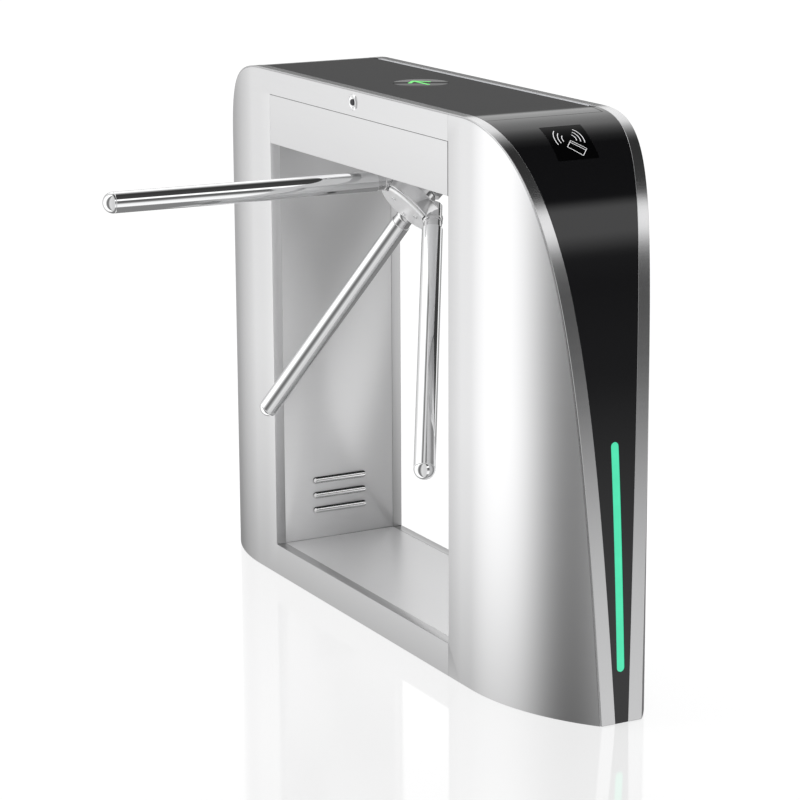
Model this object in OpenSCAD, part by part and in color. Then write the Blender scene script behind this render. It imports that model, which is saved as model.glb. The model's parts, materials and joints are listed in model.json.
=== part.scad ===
// Visitor counter turnstile: a bridge-shaped cabinet with a three-arm rotor under its top beam.
// Millimetres. Origin on the floor at the middle of the cabinet, +Z up,
// the passage and the horizontal arm are on the -Y side, the "near" end is at +X.

/* [Cabinet] */
// Overall length of the cabinet
body_l = 1400; // [1300:10:1800]
// Overall width of the cabinet at its middle
body_w = 280; // [270:5:340]
// Overall height of the cabinet
body_h = 1000; // [960:10:1200]
// Width of the cabinet where its pointed ends meet the floor
foot_w = 78.6; // [60:0.2:110]
// Length over which each end narrows in plan
taper_l = 270; // [240:5:330]
// Length over which the top curves down to the floor at each end
crown_l = 305; // [280:5:340]
// How far the flat top pulls the end curve outwards
crown_pull = 227; // [180:1:250]
// Height from which the end curve drops to the floor
foot_pull = 758; // [650:1:820]
// How far the lower end of the curve leans back
foot_lean = 40; // [20:1:60]
// Thickness of the steel sheets
sheet_t = 2; // [1.5:0.1:3]
// Width of the bright strips along the top edges
trim_w = 20; // [14:1:30]
// Thickness of the bright strips
trim_t = 3; // [2:0.5:4]
// Thickness of the black top and end panels
panel_t = 4; // [3:0.5:6]

/* [Opening] */
// Length of the opening between the two pedestals
open_l = 700; // [640:5:800]
// Height of the floor rail under the opening
base_h = 60; // [40:1:90]
// Depth of the top beam over the opening
beam_h = 142; // [140:1:170]
// Height of the strip of side sheet above the beam cover
rail_h = 48; // [40:1:60]
// Width of the flanges folded into the opening
flange_w = 20; // [14:1:30]
// Number of ventilation louvres in each inner wall
louvre_count = 3; // [1:1:8]
// Length of one louvre
louvre_l = 119; // [60:1:160]
// Height of the lowest louvre above the floor
louvre_z = 118; // [90:1:300]
// Distance from one louvre to the next
louvre_pitch = 30.5; // [22:0.5:50]

/* [Rotor] */
// Angle of the rotor axis and of the arms' cone
tilt = 42; // [40:0.5:46]
// Turn of the rotor at rest, measured from a level arm
rest_turn = 5.3; // [0:0.1:10]
// Outer diameter of an arm
arm_d = 38; // [32:1:42]
// Wall of an arm tube
arm_wall = 2; // [1.5:0.1:4]
// Distance from the point where the arms' lines meet to an arm's tip
arm_reach = 637; // [520:1:660]
// Distance from that point to the start of an arm tube
arm_start = 118; // [110:1:130]
// Depth of that point behind the middle of the cabinet
apex_y = 25; // [20:0.5:30]
// How far that point lies below the top of the cabinet
apex_drop = 171; // [170:0.5:180]
// Radius of the hub
hub_r = 66; // [60:1:68]
// Diameter of the main shaft
shaft_d = 25; // [20:1:26]

/* [Top and ends] */
// Length of the hinged lid
lid_l = 885; // [860:1:900]
// Largest opening angle of the lid
lid_angle = 75; // [30:1:80]
// Side of the square card reader window
reader_w = 80; // [60:1:90]
// Where the card reader window sits along the end curve
reader_mid = 0.215; // [0.17:0.005:0.26]
// Diameter of the round direction window in the lid
arrow_d = 102; // [80:1:120]
// Position of the direction window along the lid
arrow_x = -24; // [-150:1:150]
// Position of the direction window across the lid
arrow_y = 11; // [-40:1:40]
// Width of the light strips
strip_w = 15; // [10:1:22]
// Height of the lower end of a light strip
strip_z0 = 89; // [70:1:200]
// Height of the upper end of a light strip
strip_z1 = 481; // [300:1:560]

/* [Floor fixing] */
// Distance between the anchor holes along the cabinet
anchor_l = 1040; // [960:10:1100]
// Distance between the anchor holes across the cabinet
anchor_w = 120; // [80:5:140]
// Diameter of an anchor hole
anchor_d = 14; // [10:0.5:18]
// Diameter of the cable inlet in the base plate
inlet_d = 32; // [20:1:40]

/* [Hidden] */
$fn = 96;

gap = 0.3;              // clearance between flat pieces
fit = 0.05;             // radial clearance of pins, shafts and bearings
curve_n = 28;           // points along each end curve

half_l = body_l / 2;
half_w = body_w / 2;
half_open = open_l / 2;
taper_x = half_l - taper_l;
taper_drop = half_w - foot_w / 2;
taper_r = (taper_l * taper_l + taper_drop * taper_drop) / (2 * taper_drop);
beam_z = body_h - beam_h;
cover_z = body_h - rail_h;
inner_w = body_w - 2 * flange_w;     // width between the folded flanges
skin_in = sheet_t + gap;             // how far the frame stays inside the outer face

// ---- outline of the end curve in the XZ plane ----
crown = [[half_l - crown_l, body_h], [half_l - crown_l + crown_pull, body_h],
    [half_l - foot_lean, foot_pull], [half_l, 0]];

function bez(p, t) = pow(1 - t, 3) * p[0] + 3 * pow(1 - t, 2) * t * p[1]
    + 3 * (1 - t) * t * t * p[2] + pow(t, 3) * p[3];
function bez_dir(p, t) = 3 * pow(1 - t, 2) * (p[1] - p[0]) + 6 * (1 - t) * t * (p[2] - p[1])
    + 3 * t * t * (p[3] - p[2]);
function unit(v) = v / norm(v);
function inward(v) = [v[1], -v[0]];
function crown_point(t, d) = bez(crown, t) + d * inward(unit(bez_dir(crown, t)));
function crown_curve(d) = concat([for (i = [0:curve_n - 1]) crown_point(i / curve_n, d)],
    [[half_l - d, 0]]);
function reversed(v) = [for (i = [len(v) - 1:-1:0]) v[i]];
function mirrored(v) = [for (p = v) [-p[0], p[1]]];
function polar(r, a) = r * [cos(a), sin(a)];

// Side outline of the cabinet, d inside its surface
module side_outline(d) {
    polygon(concat(crown_curve(d), mirrored(reversed(crown_curve(d)))));
}

// Solid of the side outline across the whole width
module outline_block(d) {
    rotate([90, 0, 0]) translate([0, 0, -body_w])
        linear_extrude(2 * body_w) side_outline(d);
}

// A curved shell that lies between d1 and d2 under the top and end surface
module crown_shell(d1, d2) {
    rotate([90, 0, 0]) translate([0, 0, -body_w]) linear_extrude(2 * body_w) difference() {
        side_outline(d1);
        side_outline(d2);
    }
}

// Plan of the cabinet, d inside its outer faces
module plan(d) {
    intersection() {
        square([body_l, body_w - 2 * d], center = true);
        union() {
            square([2 * taper_x, body_w], center = true);
            for (s = [-1, 1]) intersection() {
                translate([s * taper_x, taper_r - half_w]) circle(taper_r - d, $fn = 180);
                translate([s * taper_x, half_w - taper_r]) circle(taper_r - d, $fn = 180);
            }
        }
    }
}

module plan_block(d) {
    linear_extrude(body_h) plan(d);
}

// A straight box given by its lowest and highest corners
module span(lo, hi) {
    translate(lo) cube(hi - lo);
}

// Half space on one side of the cabinet's middle plane
module half(side) {
    span([-body_l, side < 0 ? -body_w : 0, -1], [body_l, side < 0 ? 0 : body_w, body_h + 1]);
}

// ---- cabinet ----
module sheet_skin(side) {
    intersection() {
        linear_extrude(body_h) difference() {
            plan(0);
            plan(sheet_t);
        }
        outline_block(trim_t);
        half(side);
    }
}

// A folded flange, w wide, that starts at the outer face on one side
module flange(side, x0, x1, z0, z1) {
    y_out = side * half_w;
    y_in = side * (half_w - flange_w);
    span([x0, min(y_out, y_in), z0], [x1, max(y_out, y_in), z1]);
}

// Long piece: far end, floor rail and top rail in one sheet
module long_sheet(side) {
    color("gainsboro") union() {
        difference() {
            sheet_skin(side);
            span([half_open, -body_w, -1], [body_l, body_w, body_h + 1]);
            span([-half_open, -body_w, base_h], [half_open + 1, body_w, cover_z]);
        }
        flange(side, -half_open, half_open, base_h - sheet_t, base_h);
        flange(side, -half_open - sheet_t, -half_open, base_h - sheet_t, beam_z);
    }
}

module short_sheet(side) {
    color("gainsboro") union() {
        intersection() {
            sheet_skin(side);
            span([half_open + gap, -body_w, -1], [body_l, body_w, body_h + 1]);
        }
        flange(side, half_open + gap, half_open + gap + sheet_t, base_h, beam_z);
    }
}

module beam_cover(side) {
    y_out = side * half_w;
    y_in = side * (half_w - sheet_t);
    color("gainsboro") union() {
        span([-half_open + gap, min(y_out, y_in), beam_z],
            [half_open - gap, max(y_out, y_in), cover_z - gap]);
        flange(side, -half_open + gap, half_open - gap, beam_z, beam_z + sheet_t);
    }
}

module edge_trim(side) {
    color("silver") intersection() {
        crown_shell(0, trim_t);
        linear_extrude(body_h) difference() {
            plan(0);
            plan(trim_w);
        }
        half(side);
    }
}

module front_side_sheet() {
    color("gainsboro") difference() {
        long_sheet(-1);
        translate([0, -half_w, lock_z]) rotate([90, 0, 0]) cylinder(r = lock_r + fit, h = 20,
            center = true);
    }
}
module back_side_sheet() long_sheet(1);
module front_end_sheet() short_sheet(-1);
module back_end_sheet() short_sheet(1);
module front_cover() beam_cover(-1);
module back_cover() beam_cover(1);
module front_edge_trim() edge_trim(-1);
module back_edge_trim() edge_trim(1);

base_t = 6;             // thickness of the base plate
module base_plate() {
    color("dimgray") difference() {
        intersection() {
            linear_extrude(base_t) plan(skin_in);
            outline_block(panel_t + 2 * gap);
        }
        for (sx = [-1, 1], sy = [-1, 1]) translate([sx * anchor_l / 2, sy * anchor_w / 2, -1])
            cylinder(d = anchor_d, h = base_t + 2);
        translate([inlet_x, 0, -1]) cylinder(d = inlet_d, h = base_t + 2);
    }
}

// ---- inner frames of square tube ----
tube = 25;              // side of the frame tubes
tube_wall = 2;          // wall of the frame tubes
post_x = half_open + 12;             // inner posts stand this far from the middle
outer_x = half_l - 140;              // outer posts
post_y = half_w - skin_in - tube;    // inner face of an inner post
outer_y = post_y - 33;               // inner face of an outer post
rail_z = body_h - 75;                // underside of the beam rails
outer_post_h = body_h - 200;         // top of the outer posts
inlet_x = half_l - 240;              // cable inlet in the near pedestal

module post(x, y, z0, z1) {
    difference() {
        span([x, y, z0], [x + tube, y + tube, z1]);
        span([x + tube_wall, y + tube_wall, z0 + tube_wall],
            [x + tube - tube_wall, y + tube - tube_wall, z1 - tube_wall]);
    }
}

module pedestal_frame() {
    color("slategray") union() {
        for (s = [-1, 1]) {
            post(post_x, s < 0 ? -post_y - tube : post_y, base_t, rail_z);
            post(outer_x, s < 0 ? -outer_y - tube : outer_y, base_t, outer_post_h);
            for (z = [base_t, outer_post_h - tube])
                span([post_x + tube - 1, s < 0 ? -outer_y - tube : outer_y, z],
                    [outer_x + 1, s < 0 ? -outer_y : outer_y + tube, z + tube]);
            for (z = [base_t, outer_post_h - tube])
                span([post_x, s < 0 ? -post_y - 1 : outer_y, z],
                    [post_x + tube, s < 0 ? -outer_y : post_y + 1, z + tube]);
        }
        for (z = [base_t, outer_post_h - tube])
            span([outer_x, -outer_y - 1, z], [outer_x + tube, outer_y + 1, z + tube]);
    }
}
module near_frame() pedestal_frame();
module far_frame() mirror([1, 0, 0]) pedestal_frame();

cheek_x = 130;          // inner faces of the mechanism's side cheeks
cheek_t = 4;
module beam_frame() {
    color("slategray") union() {
        for (s = [-1, 1]) span([-post_x - tube, s < 0 ? -post_y - tube : post_y, rail_z],
            [post_x + tube, s < 0 ? -post_y : post_y + tube, rail_z + tube]);
        for (s = [-1, 1]) span([s < 0 ? -cheek_x - cheek_t - tube : cheek_x + cheek_t, -post_y - 1, rail_z],
            [s < 0 ? -cheek_x - cheek_t : cheek_x + cheek_t + tube, post_y + 1, rail_z + tube]);
    }
}

// ---- opening ----
louvre_slot = 7;        // height of a louvre's slot
louvre_out = 6;         // how far a louvre's hood stands out
// Inner wall with its louvres opening towards +X
module inner_wall() {
    color("lightgray") union() {
        difference() {
            span([-half_open - sheet_t, -inner_w / 2 + gap, base_h],
                [-half_open, inner_w / 2 - gap, beam_z]);
            for (i = [0:louvre_count - 1])
                span([-half_open - sheet_t - 1, -louvre_l / 2 + 3,
                    louvre_z + i * louvre_pitch - louvre_slot / 2],
                    [-half_open + 1, louvre_l / 2 - 3, louvre_z + i * louvre_pitch + louvre_slot / 2]);
        }
        for (i = [0:louvre_count - 1]) translate([-half_open, louvre_l / 2, louvre_z + i * louvre_pitch])
            rotate([90, 0, 0]) linear_extrude(louvre_l)
                polygon([[-sheet_t, louvre_slot / 2], [0, louvre_slot / 2], [louvre_out, -louvre_slot / 2],
                    [louvre_out - 1.5, -louvre_slot / 2], [-sheet_t, louvre_slot / 2 - 2]]);
    }
}
module far_inner_wall() inner_wall();
module near_inner_wall() mirror([1, 0, 0]) inner_wall();

module opening_floor() {
    color("lightgray") span([-half_open + gap, -inner_w / 2 + gap, base_h - sheet_t],
        [half_open - gap, inner_w / 2 - gap, base_h]);
}

neck_r = 34;            // outer radius of the bearing housing
module opening_ceiling() {
    color("lightgray") difference() {
        span([-half_open + gap, -inner_w / 2 + gap, beam_z], [half_open - gap, inner_w / 2 - gap,
            beam_z + sheet_t]);
        on_axis() cylinder(r = neck_r + 3, h = 300, center = true);
    }
}

// ---- black panels, windows and lights ----
lid_seam = 0.6;         // gap between the lid and the end panels
hinge_l = 780;          // length of the lid's hinge
ear_y = 7;              // the lid's rear edge beside the hinge, in front of the hinge pin
ear_gap = 1;            // room for that edge to turn

function curve_angle(t) = let (v = bez_dir(crown, t)) atan2(v[1], v[0]);

// Children placed on the end curve at t, with local Z out of the surface
module on_crown(t) {
    p = bez(crown, t);
    translate([p[0], 0, p[1]]) rotate([0, -curve_angle(t), 0]) children();
}

module reader_block(w) {
    on_crown(reader_mid) cube([w, w, 60], center = true);
}

module strip_block(w) {
    rotate([90, 0, 90]) translate([0, 0, half_l - 120]) linear_extrude(150) union() {
        for (z = [strip_z0 + strip_w / 2, strip_z1 - strip_w / 2]) translate([0, z]) circle(d = w);
        translate([-w / 2, strip_z0 + strip_w / 2]) square([w, strip_z1 - strip_z0 - strip_w]);
    }
}

module end_panel() {
    color([0.03, 0.03, 0.03]) difference() {
        intersection() {
            crown_shell(gap, panel_t + gap);
            plan_block(trim_w + gap);
            union() {
                span([lid_l / 2 + lid_seam, -body_w, -1], [body_l, body_w, body_h + 1]);
                span([hinge_l / 2 + gap, hinge_y - ear_y + ear_gap, 0], [body_l, body_w, body_h + 1]);
            }
        }
        reader_block(reader_w);
        strip_block(strip_w);
    }
}
module near_end_panel() end_panel();
module far_end_panel() mirror([1, 0, 0]) end_panel();

module light_strip() {
    color("palegreen") intersection() {
        crown_shell(gap, panel_t + gap);
        strip_block(strip_w - gap);
    }
}
module near_light_strip() light_strip();
module far_light_strip() mirror([1, 0, 0]) light_strip();

module led_boards() {
    color("darkgreen") for (m = [0, 1]) mirror([m, 0, 0]) intersection() {
        crown_shell(panel_t + 2 * gap, panel_t + 2 * gap + 2);
        strip_block(strip_w + 8);
    }
}

module reader_window() {
    color([0.08, 0.08, 0.1]) intersection() {
        crown_shell(gap, panel_t + gap);
        reader_block(reader_w - gap);
    }
}
module near_reader_window() reader_window();
module far_reader_window() mirror([1, 0, 0]) reader_window();

reader_depth = 26;      // depth of a reader module under the surface
module reader_modules() {
    color("dimgray") for (m = [0, 1]) mirror([m, 0, 0]) intersection() {
        outline_block(panel_t + 2 * gap);
        on_crown(reader_mid) translate([0, 0, -reader_depth / 2])
            cube([reader_w + 12, reader_w + 12, reader_depth], center = true);
    }
}

// ---- electronics ----
module control_board() {
    color("darkgreen") union() {
        span([190, -60, beam_z + 8], [330, 60, beam_z + 10]);
        for (x = [198, 322], y = [-52, 52]) translate([x, y, beam_z + sheet_t]) cylinder(d = 7, h = 7);
        span([210, -40, beam_z + 9.5], [250, 0, beam_z + 16]);
        span([270, -45, beam_z + 9.5], [320, 45, beam_z + 22]);
        span([205, 30, beam_z + 9.5], [245, 50, beam_z + 20]);
    }
}

supply_z = 300;         // underside of the power supply
supply_h = 180;
module power_supply() {
    color("silver") difference() {
        span([half_open + 2 * gap + sheet_t, -50, supply_z], [half_open + 44, 50, supply_z + supply_h]);
        for (i = [0:9]) span([half_open + 40, -38, supply_z + 30 + i * 12], [half_open + 50, 38,
            supply_z + 34 + i * 12]);
    }
}

module cable_duct() {
    x0 = half_open + gap + sheet_t;
    color("gray") difference() {
        span([x0 + gap, -12, supply_z + supply_h + gap], [x0 + 20, 12, beam_z - 10]);
        span([x0 + 2, -10, supply_z + supply_h - 1], [x0 + 18, 10, beam_z]);
    }
}

// ---- rotor ----
apex_z = body_h - apex_drop;

// Children in the rotor's own frame: origin where the arms' lines meet, local Z along
// the axis out of the cabinet, local X along the cabinet
module on_axis() {
    translate([0, apex_y, apex_z]) rotate([90 + tilt, 0, 0]) children();
}

// A round disc between two depths behind the origin
module disc(r, t0, t1) {
    translate([0, 0, -t1]) cylinder(r = r, h = t1 - t0);
}

// A box in the rotor's frame between two depths
module slab(lo, hi, t0, t1) {
    translate([lo[0], lo[1], -t1]) cube([hi[0] - lo[0], hi[1] - lo[1], t1 - t0]);
}

arm_r = arm_d / 2;
spigot_r = arm_r - arm_wall - 2 * fit;
shaft_r = shaft_d / 2;
hub_back = 50;          // back face of the hub on the axis
hub_front = 78;         // front face of the hub
cap_t = 5;

module arm_line(k) {
    rotate([0, 0, rest_turn + 120 * k]) rotate([-tilt, 0, 0]) children();
}

module hub_body() {
    color("silver") on_axis() difference() {
        union() {
            rotate_extrude() polygon([[0, 29], [28, 29], [31, 32], [31, hub_back], [hub_r - 3, hub_back],
                [hub_r, hub_back + 3], [hub_r, hub_front - 3], [hub_r - 3, hub_front], [0, hub_front]]);
            for (k = [0:2]) arm_line(k) translate([0, 0, 72]) cylinder(r = spigot_r,
                h = arm_start - 72 + 60);
        }
        translate([0, 0, 20]) cylinder(r = shaft_r + fit, h = 50);
    }
}

cap_r = hub_r - 7;
module hub_cap() {
    color("silver") on_axis() difference() {
        rotate_extrude() polygon([[0, hub_front], [cap_r, hub_front], [cap_r, hub_front + 2],
            [cap_r - 6, hub_front + cap_t], [0, hub_front + cap_t]]);
        for (k = [0:2]) arm_line(k) translate([0, 0, 60]) cylinder(r = arm_r + 0.5, h = 200);
        for (k = [0:2]) rotate([0, 0, rest_turn + 120 * k - 30]) translate([cap_screw_r, 0, hub_front - 1])
            cylinder(r = 2.6, h = 20);
    }
}

cap_screw_r = 30;
module hub_screws() {
    color("gray") on_axis() for (k = [0:2]) rotate([0, 0, rest_turn + 120 * k - 30])
        translate([cap_screw_r, 0, 0])
        union() {
            translate([0, 0, hub_front]) cylinder(r = 2.5, h = cap_t);
            translate([0, 0, hub_front + cap_t]) cylinder(r = 4.5, h = 2.4);
        }
}

module arm(k) {
    color("silver") on_axis() arm_line(k) translate([0, 0, arm_start]) difference() {
        cylinder(r = arm_r, h = arm_reach - arm_r - arm_start);
        translate([0, 0, -1]) cylinder(r = arm_r - arm_wall, h = arm_reach);
    }
}
module arm_1() arm(0);
module arm_2() arm(1);
module arm_3() arm(2);

module arm_end_caps() {
    color("silver") on_axis() for (k = [0:2]) arm_line(k) translate([0, 0, arm_reach - arm_r])
        rotate_extrude() union() {
            intersection() {
                circle(arm_r);
                square(arm_r);
            }
            translate([0, -18]) square([spigot_r, 18.5]);
        }
}

shaft_end = 121;        // rear end of the shaft behind the origin
module main_shaft() {
    color("gray") on_axis() translate([0, 0, -shaft_end]) cylinder(r = shaft_r, h = shaft_end + 69);
}

// Depths of the pieces behind the origin, along the axis
plate_t0 = 70;
plate_t1 = 76;
wheel_t0 = 95;
wheel_t1 = 100;
gear_t0 = 103;
gear_t1 = 109;
code_t0 = 112;
code_t1 = 113.5;
nut_t0 = 115;

module shaft_nut() {
    color("dimgray") on_axis() difference() {
        translate([0, 0, -shaft_end + 1]) cylinder(r = 18, h = shaft_end - 1 - nut_t0, $fn = 6);
        disc(shaft_r + fit, 0, shaft_end + 5);
    }
}

wheel_r = 42;           // lock wheel
notch_count = 12;
notch_w = 8;
module lock_wheel() {
    color("darkgray") on_axis() difference() {
        disc(wheel_r, wheel_t0, wheel_t1);
        disc(shaft_r + fit, 0, shaft_end);
        for (i = [0:notch_count - 1]) rotate([0, 0, i * 360 / notch_count])
            slab([wheel_r - 5, -notch_w / 2], [wheel_r + 5, notch_w / 2], wheel_t0 - 1, wheel_t1 + 1);
    }
}

// ---- gears ----
gear_m = 1.6;           // module of the gears
gear_z = 45;
pinion_z = 15;
pressure = 20;
backlash = 0.4;
gear_centre = gear_m * (gear_z + pinion_z) / 2;
function involute_at(r, rb) = let (a = acos(min(1, rb / r))) tan(a) * 180 / PI - a;

// Outline of a spur gear with z teeth, one tooth on the +X axis
module gear_outline(z) {
    r = gear_m * z / 2;
    rb = r * cos(pressure);
    root = r - 1.25 * gear_m;
    tip = r + 0.9 * gear_m;
    r0 = max(rb, root);
    half_base = 90 / z - backlash / 4 / r * 180 / PI + involute_at(r, rb);
    steps = 5;
    flank = [for (i = [0:steps]) let (q = r0 + (tip - r0) * i / steps) [q, half_base - involute_at(q, rb)]];
    union() {
        circle(root);
        for (k = [0:z - 1]) rotate(k * 360 / z) polygon(concat(
            [polar(root - 1, -half_base)], [for (f = flank) polar(f[0], -f[1])],
            [for (f = reversed(flank)) polar(f[0], f[1])], [polar(root - 1, half_base)]));
    }
}

module index_gear() {
    color("darkgray") on_axis() difference() {
        translate([0, 0, -gear_t1]) linear_extrude(gear_t1 - gear_t0) gear_outline(gear_z);
        disc(shaft_r + fit, 0, shaft_end);
    }
}

code_r = 30;
slot_count = 24;
module encoder_disc() {
    color("black") on_axis() difference() {
        disc(code_r, code_t0, code_t1);
        disc(shaft_r + fit, 0, shaft_end);
        for (i = [0:slot_count - 1]) rotate([0, 0, i * 360 / slot_count])
            slab([code_r - 6, -1.2], [code_r - 2, 1.2], code_t0 - 1, code_t1 + 1);
    }
}

crank_r = 8;            // distance of the crank pin from the pinion's centre
pin_post_r = 4;
module crank_pinion() {
    color("goldenrod") on_axis() translate([gear_centre, 0, 0]) difference() {
        union() {
            translate([0, 0, -gear_t1]) linear_extrude(gear_t1 - gear_t0) gear_outline(pinion_z);
            disc(10, gear_t1 - 0.5, gear_t1 + 3);
            translate([crank_r, 0, 0]) disc(2.5, gear_t1 + 2, gear_t1 + 10);
        }
        disc(pin_post_r + fit, 0, gear_t1 + 2);
    }
}

damper_y = gear_centre;
module damper_pinion() {
    color("goldenrod") on_axis() translate([0, damper_y, 0]) union() {
        translate([0, 0, -gear_t1]) linear_extrude(gear_t1 - gear_t0) gear_outline(pinion_z);
        disc(3, plate_t0 - 10, gear_t1);
    }
}

// ---- fixed part of the mechanism ----
plate_y0 = -19;
plate_y1 = 124;
post_far = 120;         // spring post
pawl_t0 = wheel_t0;
pawl_t1 = wheel_t1;
pawl_arm = 38;          // pivot to nose
pawl_tail = 26;         // pivot to the plunger pin
pawl_lift = 7.5;        // turn between free and locked
nose_r = wheel_r + 5;   // height of the pawl's link over the wheel when locked
nose_a = 60;            // where the entry pawl meets the wheel
pawl_pivot = polar(nose_r, nose_a) + polar(pawl_arm, nose_a - 90);

module mechanism_plate() {
    color("slategray") union() {
        on_axis() {
            difference() {
                slab([-cheek_x - 0.5, plate_y0], [cheek_x + 0.5, plate_y1], plate_t0, plate_t1);
                disc(shaft_r + 6, 0, 200);
                translate([0, damper_y, 0]) disc(3 + 1, 0, 200);
                for (p = flange_bolts) translate([p[0], p[1], 0]) disc(flange_bolt_r, 0, 200);
            }
            translate([gear_centre, 0, 0]) disc(pin_post_r, plate_t1 - 1, gear_t1 + 1);
            translate([-gear_centre, 0, 0]) disc(pin_post_r, plate_t1 - 1, gear_t1 + 0.5);
            translate([post_far, 0, 0]) disc(3, plate_t1 - 1, gear_t1 + 10);
            for (s = [-1, 1]) translate([s * pawl_pivot[0], pawl_pivot[1], 0])
                disc(pin_post_r, plate_t1 - 1, pawl_t1 + 1);
        }
        for (s = [-1, 1]) difference() {
            span([s < 0 ? -cheek_x - cheek_t : cheek_x, -28, beam_z + sheet_t + gap],
                [s < 0 ? -cheek_x : cheek_x + cheek_t, 108, body_h - 28]);
            for (y = bolt_y) translate([s * cheek_x, y, rail_z + tube / 2]) rotate([0, 90, 0])
                cylinder(r = frame_bolt_r + fit, h = 30, center = true);
        }
    }
}

frame_bolt_r = 4;
bolt_y = [-15, 95];
module frame_bolts() {
    color("gray") for (s = [-1, 1], y = bolt_y) translate([s * (cheek_x + cheek_t), y, rail_z + tube / 2])
        rotate([0, -90 * s, 0]) union() {
            cylinder(r = frame_bolt_r, h = cheek_t);
            translate([0, 0, cheek_t]) cylinder(r = 6.5, h = 5, $fn = 6);
        }
}

flange_bolt_r = 3.5;
flange_bolts = [[-42, 20], [42, 20], [-42, -6], [42, -6]];
bearing_r = 23.5;
bearing_w = 12;
front_seat = -25;       // depth of the front bearing's outer end
rear_seat = 52;         // depth of the rear bearing's inner end
module bearing_housing() {
    color("darkgray") on_axis() difference() {
        union() {
            disc(neck_r, front_seat - 1, plate_t0);
            slab([-50, -13], [50, 27], plate_t0 - 6, plate_t0);
        }
        disc(shaft_r + 2, -100, 100);
        disc(bearing_r, front_seat - 2, front_seat + bearing_w);
        disc(bearing_r, rear_seat, plate_t0 + 1);
        for (p = flange_bolts) translate([p[0], p[1], 0]) disc(flange_bolt_r, 0, 200);
    }
}

module bearing(t) {
    color("silver") on_axis() difference() {
        disc(bearing_r - fit, t, t + bearing_w);
        disc(shaft_r + fit, t - 1, t + bearing_w + 1);
        for (q = [t - 1, t + bearing_w - 1]) difference() {
            disc(bearing_r - 3.5, q, q + 2);
            disc(shaft_r + 3.5, q - 1, q + 3);
        }
    }
}
module front_bearing() bearing(front_seat);
module rear_bearing() bearing(rear_seat);

module encoder_sensor() {
    color("black") on_axis() difference() {
        slab([-gear_centre - 5, -8], [-code_r + 6, 8], gear_t1 + 0.5, gear_t1 + 9);
        slab([-code_r - 3, -9], [0, 9], code_t0 - 1.2, code_t1 + 1.2);
    }
}

damper_r = 13.5;
module damper_body() {
    color("dimgray") on_axis() translate([0, damper_y, 0]) difference() {
        disc(damper_r, plate_t0 - 24, plate_t0);
        disc(3 + fit, plate_t0 - 11, plate_t0 + 1);
    }
}

coil_y0 = 48;
coil_y1 = 92;
tail_rest = pawl_pivot + polar(pawl_tail, nose_a - 90 - pawl_lift);
tail_locked = pawl_pivot + polar(pawl_tail, nose_a - 90);
plunger_x = (tail_rest[0] + tail_locked[0]) / 2;
plunger_t = 87;         // depth of the plungers' front faces
plunger_w = 7;
plunger_axis_t = plunger_t + plunger_w / 2;
plunger_r = 4;

module solenoid_coils() {
    color("firebrick") on_axis() for (s = [-1, 1]) difference() {
        slab([s * plunger_x - 13, coil_y0], [s * plunger_x + 13, coil_y1], plate_t1, plate_t1 + 28);
        translate([s * plunger_x, coil_y0 - 1, -plunger_axis_t]) rotate([-90, 0, 0])
            cylinder(r = plunger_r + fit, h = 32);
    }
}

pin_r = 2;
module plunger(s) {
    color("silver") on_axis() translate([s * plunger_x, 0, 0]) difference() {
        union() {
            slab([-7, tail_rest[1] - 7], [7, tail_rest[1] + 7], plunger_t, plunger_t + plunger_w);
            translate([0, tail_rest[1] + 6.5, -plunger_axis_t]) rotate([-90, 0, 0])
                cylinder(r = plunger_r, h = coil_y0 + 18 - tail_rest[1]);
        }
        slab([-3.5, tail_rest[1] - pin_r - 0.4], [3.5, tail_rest[1] + pin_r + 0.4], plunger_t - 1,
            plunger_t + plunger_w + 1);
    }
}
module entry_plunger() plunger(1);
module exit_plunger() plunger(-1);

// A straight link with round ends
module link(p, q, w, t0, t1) {
    d = q - p;
    translate([p[0], p[1], 0]) rotate([0, 0, atan2(d[1], d[0])]) union() {
        slab([0, -w / 2], [norm(d), w / 2], t0, t1);
        disc(w / 2, t0, t1);
        translate([norm(d), 0, 0]) disc(w / 2, t0, t1);
    }
}

// Pawl in its locked position about its own pivot, nose towards the wheel
module pawl_shape() {
    difference() {
        union() {
            link([0, 0], polar(pawl_arm, nose_a + 90), 7, pawl_t0, pawl_t1);
            link([0, 0], polar(pawl_tail, nose_a - 90), 7, pawl_t0, pawl_t1);
            disc(8, pawl_t0, pawl_t1);
            translate(polar(pawl_arm, nose_a + 90)) rotate([0, 0, nose_a])
                slab([-9, -3], [0, 3], pawl_t0, pawl_t1);
            translate(polar(pawl_tail, nose_a - 90)) disc(pin_r, plunger_t, pawl_t0 + 1);
        }
        disc(pin_post_r + fit, 0, 200);
    }
}
module entry_pawl() {
    color("peru") on_axis() translate([pawl_pivot[0], pawl_pivot[1], 0])
        rotate([0, 0, -pawl_lift]) pawl_shape();
}
module exit_pawl() {
    color("peru") on_axis() mirror([1, 0, 0]) translate([pawl_pivot[0], pawl_pivot[1], 0])
        rotate([0, 0, -pawl_lift]) pawl_shape();
}

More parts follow.
